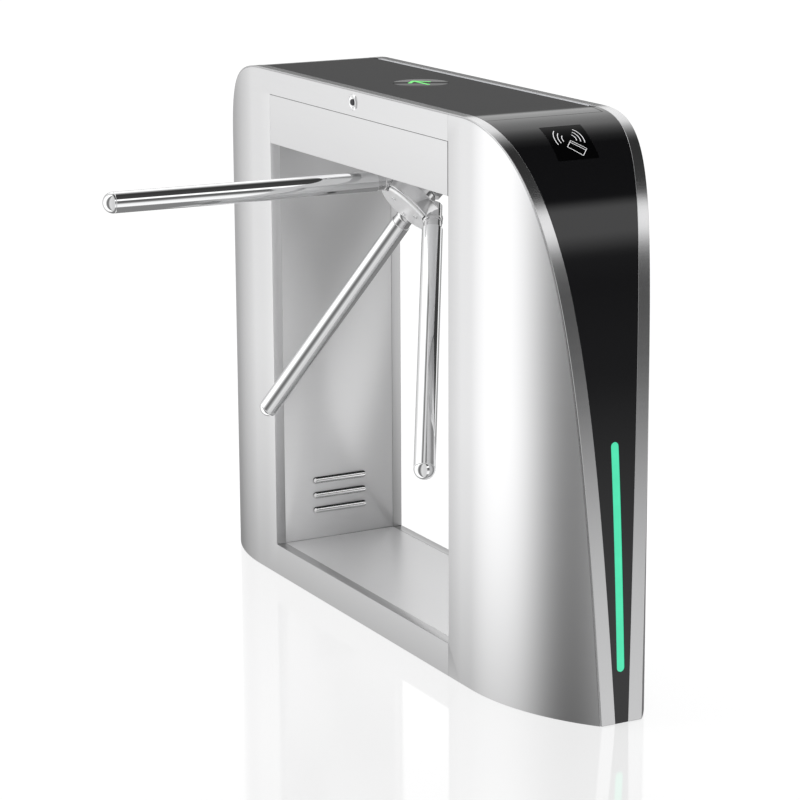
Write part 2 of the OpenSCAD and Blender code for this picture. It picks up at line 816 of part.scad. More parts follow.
spring_t = gear_t1 + 6.5;
spring_x0 = gear_centre + crank_r + 8;
spring_x1 = post_far - 8;
coil_r = 3.2;
wire_r = 0.8;
coil_pitch = 1.5;
module centering_spring() {
    turns = floor((spring_x1 - spring_x0) / coil_pitch);
    color("silver") on_axis() translate([0, 0, -spring_t]) union() {
        translate([spring_x0, 0, 0]) rotate([0, 90, 0]) rotate_extrude($fn = 32) union()
            for (i = [0:turns]) translate([coil_r, i * coil_pitch]) circle(wire_r, $fn = 16);
        translate([gear_centre + crank_r, 0, 0]) rotate_extrude($fn = 48) translate([3.6, 0])
            circle(wire_r, $fn = 16);
        translate([post_far, 0, 0]) rotate_extrude($fn = 48) translate([4, 0]) circle(wire_r, $fn = 16);
        translate([gear_centre + crank_r + 3.4, 0, 0]) rotate([0, 90, 0]) cylinder(r = wire_r, h = 5,
            $fn = 16);
        translate([spring_x1 - 1, 0, 0]) rotate([0, 90, 0]) cylinder(r = wire_r, h = 5.2, $fn = 16);
        translate([spring_x0, 0, -coil_r]) cylinder(r = wire_r, h = coil_r, $fn = 16);
        translate([spring_x0 + turns * coil_pitch, 0, 0]) cylinder(r = wire_r, h = coil_r, $fn = 16);
    }
}

// ---- lid, hinge and lock ----
knuckle_r = 3.2;
knuckle_n = 9;
hinge_pin_r = 1.5;
hinge_y = half_w - trim_w - 1 - knuckle_r;
hinge_z = body_h - knuckle_r - gap;
knuckle_l = hinge_l / knuckle_n;
lid_y1 = hinge_y - knuckle_r - gap;
pan_y = 100;            // half width of the lid's tray
pan_z = body_h - panel_t - gap;

module knuckles(odd) {
    for (i = [0:knuckle_n - 1]) if (i % 2 == odd)
        translate([-hinge_l / 2 + i * knuckle_l + gap, hinge_y, hinge_z]) rotate([0, 90, 0])
            cylinder(r = knuckle_r, h = knuckle_l - 2 * gap, $fn = 32);
}

module hinge_leaf() {
    color("dimgray") union() {
        difference() {
            union() {
                knuckles(0);
                for (i = [0:2:knuckle_n - 1]) span(
                    [-hinge_l / 2 + i * knuckle_l + gap, hinge_y, hinge_z - 18],
                    [-hinge_l / 2 + (i + 1) * knuckle_l - gap, hinge_y + knuckle_r, hinge_z]);
            }
            translate([-lid_l, hinge_y, hinge_z]) rotate([0, 90, 0]) cylinder(r = hinge_pin_r,
                h = 2 * lid_l, $fn = 32);
        }
        translate([-hinge_l / 2 + gap, hinge_y, hinge_z]) rotate([0, 90, 0])
            cylinder(r = hinge_pin_r, h = hinge_l - 2 * gap, $fn = 32);
        span([-hinge_l / 2 + gap, hinge_y + 1, rail_z + tube], [hinge_l / 2 - gap, hinge_y + knuckle_r,
            hinge_z - 17]);
    }
}

module lid_leaf() {
    color("dimgray") difference() {
        union() {
            knuckles(1);
            for (i = [1:2:knuckle_n - 1]) span(
                [-hinge_l / 2 + i * knuckle_l + gap, pan_y + 1, pan_z - 2],
                [-hinge_l / 2 + (i + 1) * knuckle_l - gap, hinge_y, pan_z]);
            span([-lid_l / 2 + 60, -pan_y, pan_z - 2], [lid_l / 2 - 60, pan_y + 1.5, pan_z]);
            for (s = [-1, 1]) span([-lid_l / 2 + 60, s * pan_y - 1, pan_z - 12], [lid_l / 2 - 60,
                s * pan_y + 1, pan_z - 1]);
            span([catch_x0, -catch_y, catch_z], [catch_x0 + 20, -catch_y + 2, pan_z - 1]);
            span([catch_x0, -catch_y - 10, catch_z], [catch_x0 + 20, -catch_y + 1, catch_z + 2]);
        }
        translate([-lid_l, hinge_y, hinge_z]) rotate([0, 90, 0])
            cylinder(r = hinge_pin_r + fit, h = 2 * lid_l, $fn = 32);
    }
}

module top_lid() {
    color([0.03, 0.03, 0.03]) difference() {
        intersection() {
            crown_shell(gap, panel_t + gap);
            span([-lid_l / 2 + lid_seam, -half_w + trim_w + 2 * gap, 0], [lid_l / 2 - lid_seam, lid_y1,
                body_h + 1]);
        }
        translate([arrow_x, arrow_y, body_h - panel_t - 1]) cylinder(d = arrow_d, h = 10);
        for (m = [0, 1]) mirror([m, 0, 0])
            span([hinge_l / 2, hinge_y - ear_y, 0], [body_l, body_w, body_h + 1]);
    }
}

arrow_l = 58;           // length of the arrow in the direction window
arrow_bar = 7;          // width of the arrow's strokes
arrow_wing = 31;        // length of each of its wings

// The arrow's outline, g wider all round
module arrow_outline(g) {
    w = arrow_bar / 2 + g;
    translate([-arrow_l / 2, 0]) union() {
        translate([0, -w]) square([arrow_l + g, 2 * w]);
        for (s = [-1, 1]) rotate(40 * s) translate([-w, -w]) square([arrow_wing + g + w, 2 * w]);
    }
}

module arrow_window() {
    color([0.05, 0.2, 0.08]) translate([arrow_x, arrow_y, 0]) union() {
        translate([0, 0, body_h - panel_t - gap]) difference() {
            cylinder(d = arrow_d - 2 * gap, h = panel_t);
            translate([0, 0, panel_t - 0.6]) linear_extrude(2) arrow_outline(0.2);
        }
        translate([0, 0, body_h - gap - 0.6]) linear_extrude(0.6) arrow_outline(0);
    }
}

lock_z = body_h - 23;
lock_r = 9.5;
lock_face_r = 15;
tongue_l = 17.5;        // reach of the lock's tongue from its centre
tongue_w = 10;
catch_x0 = 10;
catch_y = 103;
catch_z = lock_z - tongue_w / 2 - gap - 2;
tongue_y = -half_w + 28;
module lock_barrel() {
    color("silver") translate([0, -half_w - 2.5, lock_z]) rotate([-90, 0, 0]) difference() {
        union() {
            cylinder(r = lock_face_r, h = 2.5 - fit);
            cylinder(r = lock_r, h = 2.5 + 27);
        }
        translate([0, 0, -1]) cylinder(r = 6 + fit, h = 50);
    }
}

module lock_plug() {
    color("dimgray") translate([0, 0, lock_z]) union() {
        translate([0, -half_w - 2.5, 0]) rotate([-90, 0, 0]) difference() {
            cylinder(r = 6, h = 2.5 + 30);
            span([-0.6, -4, -1], [0.6, 4, 3]);
        }
        span([-tongue_w / 2, tongue_y + 0.5, -tongue_w / 2], [tongue_w / 2, tongue_y + 3, tongue_l]);
    }
}

base_plate();
near_frame();
far_frame();
beam_frame();
front_side_sheet();
front_end_sheet();
back_side_sheet();
back_end_sheet();
front_cover();
back_cover();
near_inner_wall();
far_inner_wall();
opening_floor();
opening_ceiling();
front_edge_trim();
back_edge_trim();
near_end_panel();
far_end_panel();
near_light_strip();
far_light_strip();
led_boards();
near_reader_window();
far_reader_window();
reader_modules();
control_board();
power_supply();
cable_duct();
mechanism_plate();
bearing_housing();
front_bearing();
rear_bearing();
encoder_sensor();
solenoid_coils();
damper_body();
centering_spring();
hinge_leaf();
lock_barrel();
frame_bolts();
hub_body();
hub_cap();
hub_screws();
arm_1();
arm_2();
arm_3();
arm_end_caps();
main_shaft();
shaft_nut();
lock_wheel();
index_gear();
encoder_disc();
crank_pinion();
damper_pinion();
entry_pawl();
exit_pawl();
entry_plunger();
exit_plunger();
top_lid();
lid_leaf();
arrow_window();
lock_plug();
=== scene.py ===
import json
import math

import bmesh
import bpy
import numpy as np
from bpy.props import FloatProperty, FloatVectorProperty, IntProperty, PointerProperty
from mathutils import Matrix, Vector


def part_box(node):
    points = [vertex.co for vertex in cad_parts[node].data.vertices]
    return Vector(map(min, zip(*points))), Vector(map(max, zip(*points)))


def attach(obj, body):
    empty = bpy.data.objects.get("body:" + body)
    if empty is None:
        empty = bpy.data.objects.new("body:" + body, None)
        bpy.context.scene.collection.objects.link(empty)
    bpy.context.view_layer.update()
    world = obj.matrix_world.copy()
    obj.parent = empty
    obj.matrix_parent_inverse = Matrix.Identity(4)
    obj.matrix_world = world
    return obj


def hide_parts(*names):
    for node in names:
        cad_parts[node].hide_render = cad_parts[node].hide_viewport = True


bl_info = {
    "name": "Tripod turnstile",
    "version": (1, 0, 0),
    "blender": (4, 5, 0),
    "location": "3D View > Sidebar > Turnstile",
    "description": "Builds the visible pieces, finishes and stage of a bridge-shaped tripod turnstile",
    "category": "Add Mesh",
}

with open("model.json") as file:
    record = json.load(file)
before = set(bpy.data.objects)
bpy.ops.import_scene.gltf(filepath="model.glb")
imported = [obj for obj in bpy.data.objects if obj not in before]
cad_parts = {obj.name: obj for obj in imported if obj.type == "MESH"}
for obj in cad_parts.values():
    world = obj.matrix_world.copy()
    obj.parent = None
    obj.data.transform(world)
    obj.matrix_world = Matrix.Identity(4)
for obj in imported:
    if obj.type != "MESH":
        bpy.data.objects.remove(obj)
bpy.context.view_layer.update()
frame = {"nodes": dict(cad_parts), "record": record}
NODES = frame["nodes"]
JOINTS = {j["name"]: j for j in frame["record"]["behaviour"]["joints"]}
MM = 0.001


def node_box(name):
    """Lowest and highest corner of a CAD node, in millimetres."""
    lo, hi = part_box(name)
    return lo / MM, hi / MM


TRIM_HI = node_box("front_edge_trim")[1]
LID_LO, LID_HI = node_box("top_lid")
LOCK_LO, LOCK_HI = node_box("lock_barrel")
WINDOW_LO, WINDOW_HI = node_box("arrow_window")
HINGE_Y = JOINTS["lid_hinge"]["pos_m"][1] / MM

HALF_L = TRIM_HI.x
HALF_W = node_box("back_edge_trim")[1].y
TOP = TRIM_HI.z
INNER_WALL_T = 2.0      # thickness of an inner wall of the opening
OPEN_X = -node_box("far_inner_wall")[0].x - INNER_WALL_T
BEAM_Z = node_box("front_cover")[0].z
FLOOR_Z = node_box("opening_floor")[1].z

FOLD_R = 1.3            # radius of the sheets' folds
HINGE_CLEAR = 7.0       # how far the lid's corners stay in front of the hinge's axis
EAR_CLEAR = 6.0         # how far the end panels' corners reach in front of that axis
PLUG_R = 6.05           # bore of the lock
BARREL_R = 9.45         # body of the lock behind the top rail
PRINT_LIFT = 0.06       # how far the printed lines stand off the card window
CREASE = 30             # angle in degrees from which an edge is kept sharp

PALE_STEEL = (0.88, 0.88, 0.885)
FACE_STEEL = (0.92, 0.92, 0.925)
HOOD_STEEL = (0.95, 0.95, 0.95)
ZINC = (0.62, 0.63, 0.66)
PRINT = (0.85, 0.85, 0.86)
POWDER_COAT = (0.16, 0.18, 0.20)
BLACK_OXIDE = (0.05, 0.05, 0.055)
BOARD_GREEN = (0.015, 0.15, 0.06)
MOULDED_BLACK = (0.03, 0.03, 0.032)
BRASS = (0.78, 0.58, 0.26)
COPPER = (0.42, 0.10, 0.05)
SHADOW = (0.02, 0.02, 0.02)


# ---- sizes and colours that a user may change ----
def size(label, value, note):
    return FloatProperty(name=label, default=value, description=note)


def tint(label, value):
    return FloatVectorProperty(name=label, subtype="COLOR", size=3, default=value)


class CabinetSizes(bpy.types.PropertyGroup):
    """Sizes of the cabinet's curves and sheets, in millimetres."""
    foot_half: size("Half width at the foot", 39.3, "Half width where an end meets the floor")
    taper: size("Taper length", 270.0, "Length over which each end narrows")
    crown: size("Crown length", 305.0, "Length of the curve from the flat top to the floor")
    pull: size("Crown pull", 227.0, "How far the flat top pulls the curve outwards")
    lean: size("Foot lean", 40.0, "How far the lower end of the curve leans back")
    drop: size("Foot pull", 758.0, "Height from which the curve drops to the floor")
    sheet: size("Sheet", 2.0, "Thickness of the steel sheets")
    trim: size("Trim width", 20.0, "Width of the bright edge strips")
    trim_t: size("Trim thickness", 3.0, "Thickness of the bright edge strips")
    panel_t: size("Panel thickness", 4.0, "Thickness of the black panels")
    gap: size("Gap", 0.3, "Gap between neighbouring pieces")
    seam: size("Seam", 0.7, "Extra width of the shadow seam around a beam cover")
    flange: size("Flange", 20.0, "Width of the flanges folded into the opening")
    rail: size("Top rail", 48.0, "Height of the side sheet above the beam cover")


class WindowSizes(bpy.types.PropertyGroup):
    """Sizes of windows, lights, louvres and lock, in millimetres."""
    reader: size("Reader window", 80.0, "Side of the square card window")
    reader_at: FloatProperty(name="Reader position", default=0.215, min=0.0, max=1.0, subtype="FACTOR",
                             description="Place of the window along the end curve")
    strip: size("Light strip width", 15.0, "Width of a light strip")
    strip_lo: size("Light strip bottom", 89.0, "Height of its lower end")
    strip_hi: size("Light strip top", 481.0, "Height of its upper end")
    louvres: IntProperty(name="Louvres", default=3, min=1, max=8, description="Louvres in each inner wall")
    louvre_l: size("Louvre length", 119.0, "Length of one louvre")
    louvre_z: size("Lowest louvre", 118.0, "Height of the lowest louvre")
    louvre_pitch: size("Louvre pitch", 30.5, "Distance between louvres")
    louvre_r: size("Louvre hood", 7.0, "Height of a pressed hood")
    hinge: size("Hinge length", 780.0, "Length of the lid's hinge")


class RotorSizes(bpy.types.PropertyGroup):
    """Sizes of the hub and arms, in millimetres and degrees."""
    tilt: size("Tilt", 42.0, "Angle of the axis below level, and of the arms' cone")
    turn: size("Turn at rest", 5.3, "Turn of the rotor away from a level arm")
    arm_r: size("Arm radius", 19.0, "Outer radius of an arm tube")
    reach: size("Reach", 637.0, "From the cone's point to an arm's tip")
    start: size("Tube start", 118.0, "From the cone's point to the start of a tube")
    spigot_r: size("Spigot radius", 16.9, "Radius of the neck inside a tube")
    hub_r: size("Hub radius", 66.0, "Radius of the hub")
    hub_back: size("Hub back", 50.0, "Back face of the hub along the axis")
    hub_front: size("Hub front", 78.0, "Front face of the hub along the axis")
    cap_t: size("Cap thickness", 5.0, "Thickness of the hub's front cap")
    screw_r: size("Screw circle", 30.0, "Radius of the circle of the cap's screws")


class Colours(bpy.types.PropertyGroup):
    """Colours of the finishes."""
    steel: tint("Satin steel", (0.80, 0.80, 0.805))
    bright: tint("Bright strips", (0.60, 0.60, 0.605))
    chrome: tint("Chrome", (0.90, 0.905, 0.91))
    hub: tint("Hub", (0.74, 0.74, 0.745))
    black: tint("Black panels", (0.006, 0.006, 0.007))
    light: tint("Light strips", (0.075, 0.80, 0.45))
    arrow: tint("Arrow", (0.10, 0.75, 0.12))
    floor: tint("Floor", (0.22, 0.22, 0.221))


SIZE_GROUPS = {"turnstile_cabinet": CabinetSizes, "turnstile_windows": WindowSizes,
               "turnstile_rotor": RotorSizes, "turnstile_colours": Colours}


def cab():
    return bpy.context.scene.turnstile_cabinet


def win():
    return bpy.context.scene.turnstile_windows


def rot():
    return bpy.context.scene.turnstile_rotor


def col():
    return bpy.context.scene.turnstile_colours


# ---- the cabinet's two curves ----
def crown_point(t, d=0.0):
    """Point (x, z) on the end curve, d inside the surface. t runs from the flat top to the floor."""
    c = cab()
    flat = HALF_L - c.crown
    p = np.array([[flat, TOP], [flat + c.pull, TOP], [HALF_L - c.lean, c.drop], [HALF_L, 0.0]])
    s = 1.0 - t
    q = s ** 3 * p[0] + 3 * s * s * t * p[1] + 3 * s * t * t * p[2] + t ** 3 * p[3]
    v = 3 * s * s * (p[1] - p[0]) + 6 * s * t * (p[2] - p[1]) + 3 * t * t * (p[3] - p[2])
    v /= np.linalg.norm(v)
    q = q + d * np.array([v[1], -v[0]])
    return (float(q[0]), max(float(q[1]), 0.0))


def crown_t_at_x(x):
    """Curve parameter where the surface reaches x."""
    ts = np.linspace(0, 1, 2001)
    return float(np.interp(x, [crown_point(t)[0] for t in ts], ts))


def crown_t_at_z(z):
    """Curve parameter where the surface reaches height z."""
    ts = np.linspace(1, 0, 2001)
    return float(np.interp(z, [crown_point(t)[1] for t in ts], ts))


def half_width(x, inset=0.0):
    """Half width of the cabinet at x, inset inside the side sheets."""
    c = cab()
    drop = HALF_W - c.foot_half
    radius = (c.taper ** 2 + drop ** 2) / (2 * drop)
    d = max(abs(x) - (HALF_L - c.taper), 0.0)
    return math.sqrt((radius - inset) ** 2 - d * d) - (radius - HALF_W)


def top_path(d, steps=72):
    """Points (x, z) along the whole top from the far foot to the near foot, d inside the surface."""
    near = [crown_point(i / steps, d) for i in range(steps + 1)]
    flat = HALF_L - cab().crown
    middle = [(x, TOP - d) for x in np.linspace(-flat, flat, 15)[1:-1]]
    return [(-x, z) for x, z in reversed(near)] + [(float(x), z) for x, z in middle] + near


def arc(u, v, r, first, last, count):
    """Points on a circle about (u, v), from one angle to another."""
    return [(u + r * math.cos(a), v + r * math.sin(a)) for a in np.linspace(first, last, count)]


def circle(u, v, r, steps):
    """Points all around (u, v)."""
    return arc(u, v, r, 0, 2 * math.pi, steps + 1)[:-1]


# ---- meshes ----
def show(mesh, name, smooth=35.0):
    """Links a mesh as a new object, shaded smooth except over sharp edges."""
    obj = bpy.data.objects.new(name, mesh)
    bpy.context.scene.collection.objects.link(obj)
    for p in mesh.polygons:
        p.use_smooth = True
    mesh.set_sharp_from_angle(angle=math.radians(smooth))
    return obj


def solid(name, points, faces, smooth=35.0):
    """An object from points in millimetres, with its faces turned outwards."""
    mesh = bpy.data.meshes.new(name)
    mesh.from_pydata([[MM * float(c) for c in p] for p in points], [], faces)
    bm = bmesh.new()
    bm.from_mesh(mesh)
    bmesh.ops.remove_doubles(bm, verts=bm.verts, dist=1e-6)
    bmesh.ops.recalc_face_normals(bm, faces=bm.faces)
    bm.to_mesh(mesh)
    bm.free()
    return show(mesh, name, smooth)


def soften(obj, width, segments=2, angle=35.0):
    """Rounds the sharp edges of a piece, width in millimetres."""
    m = obj.modifiers.new("edges", "BEVEL")
    m.width = width * MM
    m.segments = segments
    m.limit_method = "ANGLE"
    m.angle_limit = math.radians(angle)
    m.harden_normals = True
    m.use_clamp_overlap = True
    return obj


def bake(obj, smooth=35.0):
    """Applies a piece's modifiers."""
    bpy.context.view_layer.update()
    mesh = bpy.data.meshes.new_from_object(obj.evaluated_get(bpy.context.evaluated_depsgraph_get()))
    obj.modifiers.clear()
    old = obj.data
    obj.data = mesh
    bpy.data.meshes.remove(old)
    for p in mesh.polygons:
        p.use_smooth = True
    mesh.set_sharp_from_angle(angle=math.radians(smooth))
    return obj


def cut(obj, cutters, smooth=35.0):
    """Cuts other solids out of a piece and removes them."""
    for c in cutters:
        m = obj.modifiers.new("cut", "BOOLEAN")
        m.operation = "DIFFERENCE"
        m.solver = "EXACT"
        m.object = c
    bake(obj, smooth)
    for c in cutters:
        bpy.data.objects.remove(c, do_unlink=True)
    return obj


def box_mesh(name, lo, hi):
    """A box between two corners."""
    pts = [(x, y, z) for x in (lo[0], hi[0]) for y in (lo[1], hi[1]) for z in (lo[2], hi[2])]
    faces = [(0, 1, 3, 2), (4, 6, 7, 5), (0, 4, 5, 1), (2, 3, 7, 6), (0, 2, 6, 4), (1, 5, 7, 3)]
    return solid(name, pts, faces)


def shell(name, outer, inner, smooth=35.0):
    """A closed shell between two grids of points of the same size."""
    rows, cols = len(outer), len(outer[0])
    pts = [p for r in outer for p in r] + [p for r in inner for p in r]
    n = rows * cols
    faces = []
    for i in range(rows - 1):
        for j in range(cols - 1):
            a = i * cols + j
            q = (a, a + 1, a + cols + 1, a + cols)
            faces.append(q)
            faces.append(tuple(v + n for v in reversed(q)))
    ring = [j for j in range(cols)] + [i * cols + cols - 1 for i in range(1, rows)]
    ring += [(rows - 1) * cols + j for j in range(cols - 2, -1, -1)]
    ring += [i * cols for i in range(rows - 2, 0, -1)]
    for a, b in zip(ring, ring[1:] + ring[:1]):
        faces.append((a, a + n, b + n, b))
    return solid(name, pts, faces, smooth)


def prism(name, outline, place, depth):
    """Extrudes a closed outline. place turns (u, v, w) into a point, w runs over depth."""
    n = len(outline)
    pts = [place(u, v, w) for w in depth for u, v in outline]
    faces = [tuple(range(n)), tuple(range(2 * n - 1, n - 1, -1))]
    faces += [(i, (i + 1) % n, n + (i + 1) % n, n + i) for i in range(n)]
    return solid(name, pts, faces)


def lathe(name, profile, matrix, steps=96, smooth=35.0):
    """Turns a profile of (radius, height) points about the local Z axis."""
    pts, faces, rings = [], [], []
    for r, h in profile:
        if r < 1e-6:
            rings.append([len(pts)])
            pts.append(matrix @ Vector((0, 0, h)))
            continue
        ring = []
        for i in range(steps):
            a = 2 * math.pi * i / steps
            ring.append(len(pts))
            pts.append(matrix @ Vector((r * math.cos(a), r * math.sin(a), h)))
        rings.append(ring)
    for a, b in zip(rings, rings[1:]):
        for i in range(steps):
            j = (i + 1) % steps
            if len(a) == 1 and len(b) == 1:
                continue
            if len(a) == 1:
                faces.append((a[0], b[i], b[j]))
            elif len(b) == 1:
                faces.append((a[i], a[j], b[0]))
            else:
                faces.append((a[i], a[j], b[j], b[i]))
    return solid(name, pts, faces, smooth)


def join(name, objs):
    """Joins pieces into one object."""
    bpy.context.view_layer.update()
    mesh = bpy.data.meshes.new(name)
    bm = bmesh.new()
    for o in objs:
        dg = bpy.context.evaluated_depsgraph_get()
        m = bpy.data.meshes.new_from_object(o.evaluated_get(dg))
        m.transform(o.matrix_world)
        bm.from_mesh(m)
        bpy.data.meshes.remove(m)
    bm.to_mesh(mesh)
    bm.free()
    for o in objs:
        bpy.data.objects.remove(o, do_unlink=True)
    return show(mesh, name)


def dress(obj, body, material, nodes=()):
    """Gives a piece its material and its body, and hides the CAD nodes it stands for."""
    obj.data.materials.clear()
    obj.data.materials.append(material)
    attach(obj, body)
    if nodes:
        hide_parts(*nodes)
    return obj


# ---- shader expressions ----
class Sock:
    """A value socket that can be used in Python arithmetic."""

    def __init__(self, tree, socket):
        self.tree, self.socket = tree, socket

    def apply(self, operation, a, b):
        """The result of a Math node on two values."""
        n = node(self.tree, "ShaderNodeMath", {"operation": operation}, {0: a, 1: b})
        return Sock(self.tree, n.outputs[0])

    def __add__(self, o): return self.apply("ADD", self, o)
    def __radd__(self, o): return self.apply("ADD", o, self)
    def __sub__(self, o): return self.apply("SUBTRACT", self, o)
    def __rsub__(self, o): return self.apply("SUBTRACT", o, self)
    def __mul__(self, o): return self.apply("MULTIPLY", self, o)
    def __rmul__(self, o): return self.apply("MULTIPLY", o, self)
    def __truediv__(self, o): return self.apply("DIVIDE", self, o)
    def __pow__(self, o): return self.apply("POWER", self, o)


def node(tree, kind, settings=None, inputs=None):
    """Adds a node, sets its settings first, then fills or links its sockets."""
    n = tree.nodes.new(kind)
    for key, value in (settings or {}).items():
        if key == "stops":
            ramp = n.color_ramp
            while len(ramp.elements) > 1:
                ramp.elements.remove(ramp.elements[-1])
            ramp.elements[0].position = value[0][0]
            ramp.elements[0].color = value[0][1]
            for pos, c in value[1:]:
                ramp.elements.new(pos).color = c
        else:
            setattr(n, key, value)
    for key, value in (inputs or {}).items():
        if isinstance(value, Sock):
            value = value.socket
        if isinstance(value, bpy.types.NodeSocket):
            tree.links.new(value, n.inputs[key])
        else:
            n.inputs[key].default_value = value
    return n


def grey(v):
    return (v, v, v, 1.0)


def coordinates(tree, scale=(1, 1, 1)):
    """Object coordinates in metres, scaled."""
    place = node(tree, "ShaderNodeTexCoord").outputs["Object"]
    return node(tree, "ShaderNodeMapping", {}, {"Vector": place, "Scale": scale}).outputs["Vector"]


def noise(tree, vector, scale, detail=2.0, rough=0.5):
    """Noise from 0 to 1 with 0.5 in the middle."""
    n = node(tree, "ShaderNodeTexNoise", {},
             {"Vector": vector, "Scale": scale, "Detail": detail, "Roughness": rough})
    return Sock(tree, n.outputs["Fac"])


def ramp(tree, value, start, end, first, last, kind="LINEAR"):
    """Runs from first to last while a value runs from start to end."""
    n = node(tree, "ShaderNodeMapRange", {"interpolation_type": kind},
             {0: value, 1: start, 2: end, 3: first, 4: last})
    return Sock(tree, n.outputs[0])


def mixed(tree, factor, a, b):
    """Mixes two colours by a value."""
    n = node(tree, "ShaderNodeMix", {"data_type": "RGBA"}, {0: factor, 6: a, 7: b})
    return n.outputs[2]


def shader(name):
    """An empty material: itself, its node tree and its one shader."""
    m = bpy.data.materials.new(name)
    m.use_nodes = True
    tree = m.node_tree
    tree.nodes.clear()
    bsdf = tree.nodes.new("ShaderNodeBsdfPrincipled")
    out = tree.nodes.new("ShaderNodeOutputMaterial")
    tree.links.new(bsdf.outputs[0], out.inputs[0])
    return m, tree, bsdf


def feed(tree, bsdf, **sockets):
    """Links or sets shader sockets by name; underscores stand for spaces."""
    for key, value in sockets.items():
        s = bsdf.inputs[key.replace("_", " ")]
        if isinstance(value, Sock):
            value = value.socket
        if isinstance(value, bpy.types.NodeSocket):
            tree.links.new(value, s)
        else:
            s.default_value = value


def rgba(c, k=1.0):
    """A colour, made darker or paler by k."""
    return (c[0] * k, c[1] * k, c[2] * k, 1.0)


def brushed(name, colour, rough, grain, streak, relief=0.004, foot=0.0, head=0.0, metal=1.0):
    """Brushed steel: fine scratches along one direction and soft patches of tone, with painted shade that makes
    it darker at the foot or the head.
    """
    m, tree, bsdf = shader(name)
    scratch = noise(tree, coordinates(tree, grain), streak, 3.0, 0.6)
    patch = noise(tree, coordinates(tree), 3.0, 2.0, 0.5)
    height = node(tree, "ShaderNodeSeparateXYZ", {}, {0: coordinates(tree)}).outputs[2]
    # painted shade: one ramp rises towards the floor and is scaled by foot, the other rises towards the top and
    # is scaled by head
    low = ramp(tree, height, 0.0, 0.50, 1.0, 0.0)
    painted_head_shade = ramp(tree, height, 0.10, 0.85, 0.0, 1.0)
    tone = (scratch - 0.5) * 0.14 + (patch - 0.5) * 0.05 + 0.5
    base = mixed(tree, tone, rgba(colour, 0.88), rgba(colour, 1.06))
    # painted shade: the colour is mixed towards a dark copy of itself where these ramps rise
    base = mixed(tree, low ** 1.6 * foot + painted_head_shade * head, base, rgba(colour, 0.10))
    bump = node(tree, "ShaderNodeBump", {}, {"Strength": relief, "Distance": 0.0004, "Height": scratch})
    feed(tree, bsdf, Base_Color=base, Metallic=metal, Normal=bump.outputs[0],
         Roughness=(scratch - 0.5) * 0.06 + (patch - 0.5) * 0.03 + rough)
    return m


def polished(name, colour, rough):
    """Chrome: mirror finish with faint wipe marks."""
    m, tree, bsdf = shader(name)
    marks = noise(tree, coordinates(tree), 14.0, 4.0, 0.6)
    fine = noise(tree, coordinates(tree), 300.0, 2.0, 0.6)
    base = mixed(tree, marks, rgba(colour, 0.94), rgba(colour, 1.03))
    feed(tree, bsdf, Base_Color=base, Metallic=1.0,
         Roughness=(marks - 0.5) * 0.03 + (fine - 0.5) * 0.015 + rough)
    return m


def glossy(name, colour, rough, shine=0.5):
    """Glossy plastic or back-painted glass with faint dust and wipe marks."""
    m, tree, bsdf = shader(name)
    wipe = noise(tree, coordinates(tree), 5.0, 4.0, 0.6)
    dust = noise(tree, coordinates(tree), 1400.0, 1.0, 0.5)
    specks = ramp(tree, dust, 0.70, 0.86, 0.0, 1.0)
    base = mixed(tree, specks * 0.05, rgba(colour), grey(0.3))
    feed(tree, bsdf, Base_Color=base, Metallic=0.0, Roughness=(wipe - 0.5) * 0.04 + rough, IOR=1.5,
         Specular_IOR_Level=shine)
    return m


def glowing(name, colour, strength, base=0.2):
    """A lit diffuser: an even glow with faint clouds."""
    m, tree, bsdf = shader(name)
    cloud = noise(tree, coordinates(tree), 40.0, 2.0, 0.5)
    tone = mixed(tree, cloud, rgba(colour, 0.90), rgba(colour, 1.08))
    feed(tree, bsdf, Base_Color=rgba(colour, base), Roughness=0.35,
         Emission_Color=tone, Emission_Strength=strength)
    return m


def coated(name, colour, rough, metallic=0.0, scale=700.0, relief=0.05):
    """Powder coat, moulded plastic or lacquer: fine orange peel over one colour."""
    m, tree, bsdf = shader(name)
    peel = noise(tree, coordinates(tree), scale, 2.0, 0.5)
    patch = noise(tree, coordinates(tree), 9.0, 3.0, 0.5)
    base = mixed(tree, patch, rgba(colour, 0.88), rgba(colour, 1.10))
    bump = node(tree, "ShaderNodeBump", {}, {"Strength": relief, "Distance": 0.0005, "Height": peel})
    feed(tree, bsdf, Base_Color=base, Metallic=metallic, Normal=bump.outputs[0],
         Roughness=(peel - 0.5) * 0.10 + (patch - 0.5) * 0.05 + rough)
    return m


FINISH = {}


